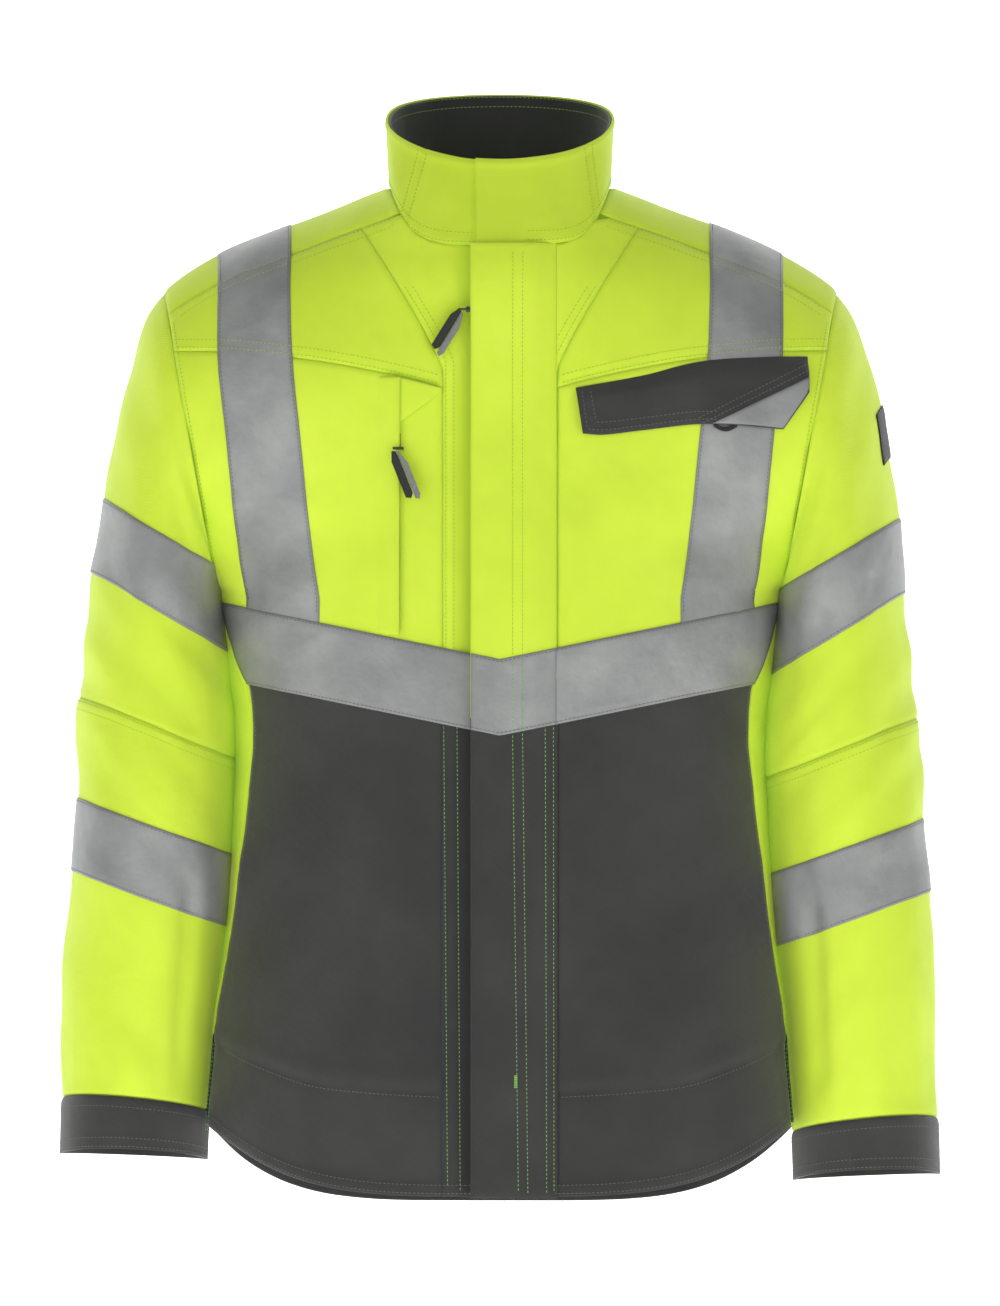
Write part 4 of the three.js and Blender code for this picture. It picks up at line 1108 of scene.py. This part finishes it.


for side, name in sideName.items():
    lay = sleeveLay(side)
    elbow = sleeveCuts["elbow"]
    cuts = {angle: alongAtCut(side, angle, *elbow) for angle in range(-180, 181, 3)}

    def elbowAt(angle):
        step = int((angle + 180) // 3) * 3 - 180
        step = min(step, 177)
        return lerp(cuts[step], cuts[step + 3], (angle - step) / 3)

    def upperSleeve(u, v):
        angle = lerp(-180, 180, u)
        return angle, lerp(0.0, elbowAt(angle), v)

    def lowerSleeve(u, v):
        angle = lerp(-180, 180, u)
        return angle, lerp(elbowAt(angle), cuffTopAt(angle), v)

    def cuffTube(u, v):
        angle = lerp(-180, 180, u)
        return angle, lerp(cuffTopAt(angle), 1, v)

    clothPiece(name + "UpperSleeve", upperSleeve, lay, (470, 285), "hiVisCloth", [name + "_upper_sleeve"],
               body=name + "_sleeve", uvScale=(1.25, 589), closed=True, thick=1.0)
    # the lower sleeves get painted shade on their inner side
    clothPiece(name + "LowerSleeve", lowerSleeve, lay, (400, 270), "hiVisCloth", [name + "_lower_sleeve"],
               body=name + "_sleeve", uvScale=(1.1, 589), closed=True, thick=1.0, shade=paintedSleeveShade)
    clothPiece(name + "Cuff", cuffTube, lay, (262, 40), "darkTwill", [name + "_cuff"],
               body=name + "_sleeve", uvScale=(0.8, 589), closed=True, thick=2.0, off=0.9, tuck=0.9,
               pitch=3.0,
               loose=("high",))
    for label, node in (("upperTape", "_upper_arm_tape"), ("forearmTape", "_forearm_tape")):
        start, slope, wide = sleeveCuts[label]
        edges = {}
        for angle in range(-180, 181, 4):
            top = max(alongAtCut(side, angle, start, slope), 0.045)
            bottomStart = start + wide / sleeve["drop"]
            edges[angle] = (top, alongAtCut(side, angle, bottomStart, slope))

        def band(u, v, edges=edges):
            angle = lerp(-180, 180, u)
            step = min(int((angle + 180) // 4) * 4 - 180, 176)
            t = (angle - step) / 4
            low, high = [lerp(edges[step][k], edges[step + 4][k], t) for k in (0, 1)]
            return angle, lerp(low, high, v)
        clothPiece(name + label[0].upper() + label[1:], band, lay, (440 if "upper" in label else 390, 50),
                   "greyTape",
                   [name + node], body=name + "_sleeve", uvScale=(1.2, 589), closed=True,
                   off=tape["off"] + 0.3,
                   thick=tape["thick"], tuck=0.25, pitch=3.4)
print("sleeves made")

# chest pocket flap, cut with a slanting outer end and a reflective corner
flapTop = curveThrough((51.3, -141.3), (98.3, -132.6), (127.2, -125.2), (146.2, -121.8), (178, -120.4),
                       (209.4, -119.9))
flapBottom = curveThrough((56, -172.6), (69.4, -173.4), (98.3, -170), (132.6, -166), (157.8, -166.3),
                          (192.3, -169.3))
flap = {"off": 4.6, "thick": 1.6, "sewn": 1.4}


def flapEdgeX(v):
    return 192.3 + 17.1 * min(v / 0.5, 1)


pocketFlapAt = coons(
    lambda t: (lerp(56, 192.3, t), flapBottom(lerp(56, 192.3, t))),
    lambda t: (lerp(51.3, 209.4, t), flapTop(lerp(51.3, 209.4, t))),
    lambda t: (lerp(56, 51.3, t), lerp(-172.6, -141.3, t)),
    lambda t: (flapEdgeX(t), lerp(-169.3, -119.9, t)))


def flapShape(u, v, a, b):
    seamDown = (b - (-165.2 + (a - 144.2) * 0.478)) * 0.9
    ridge = -0.5 * math.exp(-(seamDown / 1.0) ** 2) if a > 140 else 0
    lift = lerp(flap["off"], flap["sewn"], smooth((v - 0.72) / 0.28))
    return lift + ridge + 0.9 * noise.noise(Vector((a * 0.022, b * 0.03, 8))) + 0.6 * math.sin(a * 0.045)


clothPiece("pocketFlap", pocketFlapAt, frontLay, (156, 48), "darkTwill", ["pocket_flap"], body="pocket_flap",
           shape=flapShape, thick=flap["thick"], tuck=0.8, pitch=2.6)
reflectorAt = coons(
    lambda t: (lerp(144.2, 191.7, t), lerp(-165.2, -168.6, t) + 0.8 * math.sin(math.pi * t)),
    lambda t: (lerp(144.2, 208.9, t), lerp(-165.0, -134.6, t)),
    lambda t: (144.2, lerp(-165.2, -165.0, t)),
    lambda t: (lerp(191.7, 208.9, min(t / 0.7, 1)), lerp(-168.6, -143.3, min(t / 0.7, 1))
               + 8.7 * clamp((t - 0.7) / 0.3)))
clothPiece("flapReflector", reflectorAt, frontLay, (66, 30), "greyTape", ["flap_reflector"],
           body="pocket_flap",
           shape=lambda u, v, a, b: flapShape(u, 0.3, a, b) + 0.75, thick=0.6, tuck=0.2, pitch=2.6)
clothPiece("flapPullLoop", lambda u,
           v: (lerp(145, 161, u), -164.6 - 3.2 * math.sin(math.pi * u) - lerp(3, 0, v)),
           frontLay, (18, 3), "blackWebbing", ["flap_pull_loop"], body="pocket_flap", off=3.4, thick=1.4,
           tuck=0.1,
           pitch=1.2)
print("pocket flap made")

# chest zip: a lip of cloth lies over the teeth, with its top corner folded back
chestZip = {"x": -71, "top": -150, "bottom": -306, "lip": -67.8}


def lipShape(u, v, a, b):
    return lerp(-0.7, 4.0, smooth(u)) - 0.5 * math.exp(-((a + 73) / 0.9) ** 2)


clothPiece("chestZipLip", lambda u, v: (lerp(-88, chestZip["lip"], u), lerp(-309.0, yokeSeam(71) - 1, v)),
           frontLay,
           (20, 180), "hiVisCloth", (), shape=lipShape, thick=0.9, tuck=0.45, pitch=3.2)
clothPiece("chestZipFold", lambda u, v: (lerp(-70.4, -39.4, u), lerp(lerp(-166.5, -143.5, u),
                                                                        yokeSeam(lerp(70.4, 39.4, u)) - 0.6,
                                                                        v)),
           frontLay, (31, 40), "hiVisCloth", ["chest_zip_fold"], off=2.3, thick=0.9, tuck=0.5, pitch=2.6)
for side, name, node, edges, tall in (
        (1, "leftPocketBag", "left_pocket_bag", (64, 168), (-286, -147)),
        (-1, "rightPocketBag", "right_pocket_bag", (73, 137), (-300, -150))):
    clothPiece(name, lambda u, v: (side * lerp(*edges, u), lerp(*tall, v)), frontLay,
               (edges[1] - edges[0], tall[1] - tall[0]), "liningCloth", [node], off=-5.6, thick=0.9, pitch=6)

# hanger loop inside the back of the neck, and the tab on the left sleeve
loopStrap = {"half": 32, "tall": 8, "endY": bodyY(32, neckBack(32), True) - 2.6}


def loopLay(x, z, off, edge=0):
    bow = loopStrap["endY"] * (x / loopStrap["half"]) ** 4
    slope = 4 * bow / x if x else 0
    way = Vector((-slope, 1, 0)).normalized()
    return (Vector((x, bow, z)) + way * (off + 0.8)) * mm


clothPiece("neckHangerLoop", lambda u, v: (lerp(-32, 32, u), lerp(-4, 4, v)), loopLay, (90, 8),
           "blackWebbing",
           ["hanger_loop"], thick=1.5, tuck=0.2, pitch=1.6, uvScale=(1, 1))
clothPiece("sleeveTab", lambda u, v: (lerp(-2, 26, u), 0.12 + 31 / sleeve["drop"] * (1 - v)), sleeveLay(1),
           (29, 31),
           "blackWebbing", ["sleeve_tab"], body="left_sleeve", off=1.5, thick=0.9, tuck=0.35, pitch=2.0,
           uvScale=(1, 589))
print("small cloth made")

# zips: teeth set in pairs along two woven strips
zipLine = {"top": frontSheet(-3, -78), "length": 607, "pitch": 2.2}
fall = Vector((0, body["chestDepth"] - body["hemDepth"],
               -(body["straightFrom"] + body["hemDrop"]))).normalized()
rise = (Vector((0, -1, 0)) + fall * fall.y).normalized()


def onZip(across, out, down):
    return (zipLine["top"] + Vector((across, 0, 0)) + rise * out + fall * down) * mm


def boxAt(bm, centre, axes, sides):
    turn = Matrix([list(axis) for axis in axes]).transposed().to_4x4()
    scale = Matrix.Diagonal((*[side * mm for side in sides], 1))
    bmesh.ops.create_cube(bm, size=1, matrix=Matrix.Translation(centre) @ turn @ scale)


def joinInto(target, bm):
    mesh = bpy.data.meshes.new("part")
    bm.to_mesh(mesh)
    bm.free()
    target.from_mesh(mesh)
    bpy.data.meshes.remove(mesh)


across = Vector((1, 0, 0))
for side, label in ((-1, "Right"), (1, "Left")):
    whole = bmesh.new()
    steps = int(zipLine["length"] / zipLine["pitch"])
    for chunk in range(0, steps, 70):
        bm = bmesh.new()
        for i in range(chunk, min(chunk + 70, steps)):
            down = (i + (0.5 if side > 0 else 0)) * zipLine["pitch"] + 1
            boxAt(bm, onZip(side * 1.25, -0.35, down), (across, rise, fall), (2.4, 1.7, 1.15))
            boxAt(bm, onZip(side * 2.6, -0.45, down), (across, rise, fall), (1.1, 1.9, 1.5))
        joinInto(whole, bm)
    teeth = finishPiece(whole, "mainZipTeeth" + label, "toothPlastic", "jacket")
    strip = bmesh.new()
    boxAt(strip, onZip(side * 7.4, -2.9, zipLine["length"] / 2), (across, rise, fall),
          (12.6, 0.8, zipLine["length"]))
    bmesh.ops.subdivide_edges(strip, edges=strip.edges, cuts=3, use_grid_fill=True)
    finishPiece(strip, "mainZipStrip" + label, "blackWebbing", "jacket", ["main_zip_" + label.lower()])

ends = [frontSheet(chestZip["x"], chestZip[key]) for key in ("top", "bottom")]
chestFall = (ends[1] - ends[0]).normalized()
chestOut = (standOff(frontSheet, -71, -228, 1, bodyMiddle, (0.5, 0.5)) - frontSheet(-71, -228)).normalized()
chestAcross = chestOut.cross(chestFall).normalized()
chestAcross = chestAcross if chestAcross.x > 0 else -chestAcross
chestOut = chestFall.cross(chestAcross).normalized()
chestOut = chestOut if chestOut.y < 0 else -chestOut
whole = bmesh.new()
chestLong = (ends[1] - ends[0]).length
for chunk in range(0, int(chestLong / 1.6), 60):
    bm = bmesh.new()
    for i in range(chunk, min(chunk + 60, int(chestLong / 1.6))):
        for k in (-1, 1):
            spot = (ends[0] + chestFall * (i * 1.6 + 0.8 + 0.4 * k) + chestOut * 0.6 + chestAcross * 0.95
                    * k) * mm
            boxAt(bm, spot, (chestAcross, chestOut, chestFall), (2.1, 1.1, 0.8))
    joinInto(whole, bm)
boxAt(whole, (ends[0] + chestFall * chestLong / 2 - chestOut * 0.1) * mm, (chestAcross, chestOut, chestFall),
      (6.0, 0.5, chestLong))
finishPiece(whole, "chestZipCoil", "toothPlastic", "jacket", ["chest_zip_chain"])


# the chest zip's slider lies low, under the lip
def makeSlider():
    bm = bmesh.new()
    spot = ends[0] + chestFall * (32 - 5) + chestOut * 0.7 + chestAcross * 0.8
    boxAt(bm, spot * mm, (chestAcross, chestOut, chestFall), (5.4, 1.8, 10))
    bmesh.ops.bevel(bm, geom=bm.edges[:], offset=0.0007, offset_type="OFFSET", segments=2, profile=0.5,
                    affect="EDGES", material=-1)
    loop = bmesh.new()
    for right, out, sides in ((4.2, 2.6, (1.4, 5.2, 1.8)), (1.4, 4.7, (7.0, 0.9, 1.8))):
        boxAt(loop, (spot + chestAcross * right + chestFall * 5.6 + chestOut * out) * mm,
              (chestAcross, chestOut, chestFall), sides)
    joinInto(bm, loop)
    return bm


finishPiece(makeSlider(), "chestZipSlider", "darkMetal", "chest_slider", ["chest_zip_slider"])
pullerLink = bmesh.new()
boxAt(pullerLink, Vector((-24.3, -156.4, -88.0)) * mm, (across, rise, fall), (6.5, 1.5, 1.6))
finishPiece(pullerLink, "mainPullerLink", "darkMetal", "main_slider")
kept = {"main_zip_slider": "darkMetal", "main_puller_grip": "blackRubber", "main_puller_inset": "greyRubber",
        "chest_puller_grip": "blackRubber", "chest_puller_inset": "greyRubber"}
for node, finish in kept.items():
    obj = frame["nodes"][node] if not isinstance(frame["nodes"][node],
                                                 str) else bpy.data.objects[frame["nodes"][node]]
    for slot in obj.material_slots:
        slot.material = finishes[finish]
    if not obj.material_slots:
        obj.data.materials.append(finishes[finish])
print("zips made")

# stitches: small beads of thread laid along a path on the cloth
thread = {"pitch": 2.9, "long": 2.05, "wide": 0.62, "high": 0.5}
threadWork = {}


def stitchRun(key, path, lay, off, steps=48):
    spots = []
    for i in range(steps + 1):
        a, b = path(i / steps)
        lift = off(a, b) if callable(off) else off
        spots.append((lay(a, b, lift), lay(a, b, lift + 1)))
    run = bmesh.new()
    travelled, due = 0.0, thread["pitch"] * mm / 2
    for (here, hereOut), (there, thereOut) in zip(spots, spots[1:]):
        length = (there - here).length
        while length > 0 and due <= travelled + length:
            t = (due - travelled) / length
            along = (there - here).normalized()
            out = (hereOut - here).lerp(thereOut - there, t).normalized()
            side = along.cross(out).normalized()
            turn = Matrix([side, out, along]).transposed().to_4x4()
            scale = Matrix.Diagonal([thread[k] * mm / 2 for k in ("wide", "high", "long")] + [1])
            bmesh.ops.create_icosphere(run, subdivisions=1, radius=1,
                                       matrix=Matrix.Translation(here.lerp(there, t)) @ turn @ scale)
            due += thread["pitch"] * mm
        travelled += length
    if key not in threadWork:
        threadWork[key] = bmesh.new()
    joinInto(threadWork[key], run)


def upright(x0, x1, z0, z1):
    return lambda t: (lerp(x0, x1, t), lerp(z0, z1, t))


tapeFace = tape["off"] + 0.35
lime, green, grey = "limeThread", "greenThread", "greyThread"


def following(start, end, heightAt):
    def path(t):
        x = lerp(start, end, t)
        return x, heightAt(x)
    return path


for side, name in sideName.items():
    def mirror(path, side=side):
        def flipped(t):
            x, z = path(t)
            return side * x, z
        return flipped

    def onFront(finish, path, off=0.15, steps=48):
        stitchRun(("jacket", finish), mirror(path), frontLay, off, steps)

    def overStrap(x, z):
        near = abs(abs(x) - shoulderTapeMiddle(z)) < 25.4
        return tapeFace if near else 0.1

    # rows beside the shoulder, yoke and princess seams
    for down in (2.2, 7.6):
        onFront(lime, following(72, 219, lambda x: forwardSeam(x) - down), overStrap)
        onFront(lime, following(100, 222, lambda x: yokeSeam(x) + down), overStrap)
        onFront(lime, lambda t: (princessX(lerp(-340, -75, t)) - down, lerp(-325, -72, t)))
    for up in (2.2, 7.6):
        onFront(lime, following(42, 100, lambda x: yokeSeam(x) + up))
    onFront(lime, lambda t: (halfWidth(lerp(-268, -95, t)) - 3.0, lerp(-268, -95, t)))
    # the hem, the pocket's mouth and the side
    for up in (2.2, 7.8):
        onFront(grey, following(-4 if side < 0 else 36, 196, lambda x: hemFront(x) + up), hemThread, 60)
    onFront(grey, following(41, 186, lambda x: pocketLine(x) - 1.6), 0.0)
    onFront(grey, lambda t: (frontSideX(lerp(-585, -345, t)) - 2.6, lerp(-585, -345, t)))
    for step in (0.7, 2.6):
        stitchRun(("jacket", green), lambda t: (side * (sideSeamAngle - step), lerp(-648, -586, t)),
                  roundLay, 0.15)
    # tapes are sewn along both edges
    chest = mirrored(chestTape(side), side)
    for v in (0.035, 0.965):
        stitchRun(("jacket", grey), lambda t: chest(lerp(0.02, 0.99, t), v), frontLay, tapeFace + 0.1)
        for back in (False, True):
            strapLay = torsoLay(shoulderTape(side, back), (0.004, 0.004))
            stitchRun(("jacket", grey), lambda t: (v, lerp(0.02, 0.99, t)), strapLay, tape["off"] + 0.15)
    sleeveOf = sleeveLay(side)
    for label in ("upperTape", "forearmTape"):
        start, slope, wide = sleeveCuts[label]
        for row in (1.8, wide - 1.8):
            stitchRun((name + "_sleeve", grey), lambda t: (lerp(-180, 180, t), max(alongAtCut(
                side, lerp(-180, 180, t), start + row / sleeve["drop"], slope), 0.048)), sleeveOf,
                tapeFace + 0.1)
    elbowStart, elbowSlope = sleeveCuts["elbow"]
    for row in (2.4, 7.8):
        stitchRun((name + "_sleeve", lime), lambda t: (lerp(-180, 180, t), alongAtCut(
            side, lerp(-180, 180, t), elbowStart + row / sleeve["drop"], elbowSlope)), sleeveOf, 0.12)
    for row in (0.2, 0.79, 0.945):
        stitchRun((name + "_sleeve", grey), lambda t: (lerp(-180, 180, t), lerp(
            cuffTopAt(lerp(-180, 180, t)), 1, row)), sleeveOf, 1.05)
print("seam threads sewn")

# the placket's rows, which lean a little towards the hem
for x, low in ((-38.2, -35.6), (-29.2, -27.0)):
    stitchRun(("jacket", green), upright(x, low, -371, -688), frontLay, 0.15, 60)


def onFlap(extra):
    arch = flapArch(extra)
    return lambda a, b: arch(0, 0, a, b)


for top, low in ((8.5, 12.4), (15.2, 18.8), (30.6, 31.6), (36.2, 36.6)):
    inner = top < 20
    if inner:
        stitchRun(("storm_flap", lime), upright(top, top, -50, tapeTop(top)), frontLay, onFlap(0.5), 40)
        stitchRun(("storm_flap", green), upright(top, top, tapeTop(top), tapeBottom(top)), frontLay,
                  onFlap(1.3), 12)
    stitchRun(("storm_flap", green), upright(top, low, tapeBottom(top) - 1, -688), frontLay,
              onFlap(0.5 if inner else 0.15), 60)
for v in (0.035, 0.965):
    stitchRun(("storm_flap", grey), lambda t: flapAt(tapeBottom, tapeTop)(t, v), frontLay, onFlap(1.0), 30)
tack = bmesh.new()
for i in range(8):
    spot = frontLay(10.6, -609 - i * 1.1, onFlap(0.5)(10.6, -609))
    boxAt(tack, spot, (across, rise, fall), (2.3, 0.6, 0.8))
joinInto(threadWork[("storm_flap", green)], tack)

# the leaning seams of the collar
for side, (neck, rim) in collarSeams.items():
    for beside in (-1.3, 4.4):
        stitchRun(("jacket", lime), lambda t: (lerp(neck, rim, t) + beside * side, lerp(0.05, 0.96, t)),
                  collarLay,
                  lambda a, b: 0.2 + (lapLift if a > 0 else collarRib)(0, b, a, b), 24)

# back, collar rim and flap
for v in (0.035, 0.965):
    stitchRun(("jacket", grey), lambda t: (lerp(-172, 172, t), lerp(backTapeTop - 50, backTapeTop, v)),
              backLay,
              tapeFace + 0.1, 60)
for down in (2.2, 7.6):
    stitchRun(("jacket", lime), following(
        -219, 219, lambda x: (backYokeSeam(x) if abs(x) > seams["backStart"] else neckBack(x)) - down),
        backLay, 0.15, 90)
    stitchRun(("jacket", grey), following(-190, 190, lambda x: hemBack(x) + down), backLay, 0.5, 70)
for down in (1.7, 7.6):
    stitchRun(("jacket", green), lambda t: (lerp(78, 282, t), 1 - down / 56), collarLay, -3.0, 60)
    stitchRun(("jacket", lime), lambda t: (lerp(-178, lapStart - 1, t), down / 56), collarLay, 0.1, 60)
    stitchRun(("jacket", lime), lambda t: (lerp(lapEnd + 2, 178, t), down / 56), collarLay,
              lambda a, b: 0.15 + lapLift(0, 0, a, b), 60)


def onPocketFlap(a, b):
    v = clamp((b - flapBottom(a)) / (flapTop(a) - flapBottom(a)))
    return flapShape(0, v, a, b) + 0.2


for inset, low in ((3.0, 3.4), (8.8, 8.6)):
    stitchRun(("pocket_flap", grey), lambda t: (lerp(52.5, 55.8, t) + inset, lerp(-143.5, -171 + low, t)),
              frontLay,
              onPocketFlap, 12)
    stitchRun(("pocket_flap", grey), following(56 + inset, 146, lambda x: flapBottom(x) + low),
              frontLay, onPocketFlap, 30)
    stitchRun(("pocket_flap", grey), lambda t: (lerp(134, 208, t), -169.5 + low * 0.9 + lerp(0, 36, t)),
              frontLay,
              onPocketFlap, 30)

for (bodyName, finish), work in threadWork.items():
    finishPiece(work, bodyName.replace("_", "") + finish[0].upper() + finish[1:], finish, bodyName)
print("threads finished")


# pale floor and wall that run into each other, soft lights and a bright even surround
studio = {"floor": -1.25, "wall": 1.6, "half": 4.0, "round": 0.6}


def makeStudio():
    bm = bmesh.new()
    start = bm.verts.new((-studio["half"], -6, studio["floor"]))
    end = bm.verts.new((studio["half"], -6, studio["floor"]))
    edge = bm.edges.new((start, end))
    steps = [Vector((0, 6 + studio["wall"] - studio["round"], 0))]
    for i in range(12):
        a, b = math.radians(90 * i / 12), math.radians(90 * (i + 1) / 12)
        steps.append(Vector((0, math.sin(b) - math.sin(a), math.cos(a) - math.cos(b))) * studio["round"])
    steps.append(Vector((0, 0, 4)))
    edges = [edge]
    for step in steps:
        made = bmesh.ops.extrude_edge_only(bm, edges=edges)["geom"]
        verts = [item for item in made if isinstance(item, bmesh.types.BMVert)]
        bmesh.ops.translate(bm, verts=verts, vec=step)
        edges = [item for item in made if isinstance(item, bmesh.types.BMEdge)]
    bmesh.ops.recalc_face_normals(bm, faces=bm.faces)
    mesh = bpy.data.meshes.new("studioSweep")
    bm.to_mesh(mesh)
    bm.free()
    obj = bpy.data.objects.new("studioSweep", mesh)
    bpy.context.scene.collection.objects.link(obj)
    material, _, shader = newMaterial("paperSweep", {"Roughness": 0.9, "Emission Strength": 1.0})
    shader.inputs["Base Color"].default_value = (0.9, 0.9, 0.9, 1)
    shader.inputs["Emission Color"].default_value = (1, 1, 1, 1)
    # clear from behind, so that the jacket can be looked at from any side
    for polygon in mesh.polygons:
        if polygon.normal.y > 0.5 or polygon.normal.z < -0.5:
            polygon.flip()
    tree = material.node_tree
    facing = addNode(tree, "ShaderNodeNewGeometry", -300, -300)
    clear = addNode(tree, "ShaderNodeBsdfTransparent", -300, -500)
    mixed = addNode(tree, "ShaderNodeMixShader", 400, -200)
    link(tree, facing, "Backfacing", mixed, 0)
    link(tree, shader, "BSDF", mixed, 1)
    link(tree, clear, "BSDF", mixed, 2)
    link(tree, mixed, "Shader", tree.nodes["Material Output"], "Surface")
    mesh.materials.append(material)


makeStudio()
lamps = {
    "leftSoftbox": {"at": (-3.0, -2.6, 0.7), "size": 2.0, "power": 30},
    "rightSoftbox": {"at": (3.0, -2.6, 0.5), "size": 2.0, "power": 26},
    "frontSoftbox": {"at": (-0.6, -5.0, 1.2), "size": 2.4, "power": 32},
    "topSoftbox": {"at": (0.0, -0.6, 2.4), "size": 1.4, "power": 8},
}
for name, lamp in lamps.items():
    light = bpy.data.lights.new(name, "AREA")
    light.size = lamp["size"]
    light.energy = lamp["power"]
    obj = bpy.data.objects.new(name, light)
    obj.location = lamp["at"]
    way = Vector((0, -0.05, -0.35)) - Vector(lamp["at"])
    obj.rotation_euler = way.to_track_quat("-Z", "Y").to_euler()
    bpy.context.scene.collection.objects.link(obj)
world = bpy.data.worlds.new("surround")
world.use_nodes = True
world.node_tree.nodes["Background"].inputs["Color"].default_value = (1, 1, 1, 1)
world.node_tree.nodes["Background"].inputs["Strength"].default_value = 0.10
bpy.context.scene.world = world
bpy.context.scene.view_settings.view_transform = "Standard"
print("studio made")
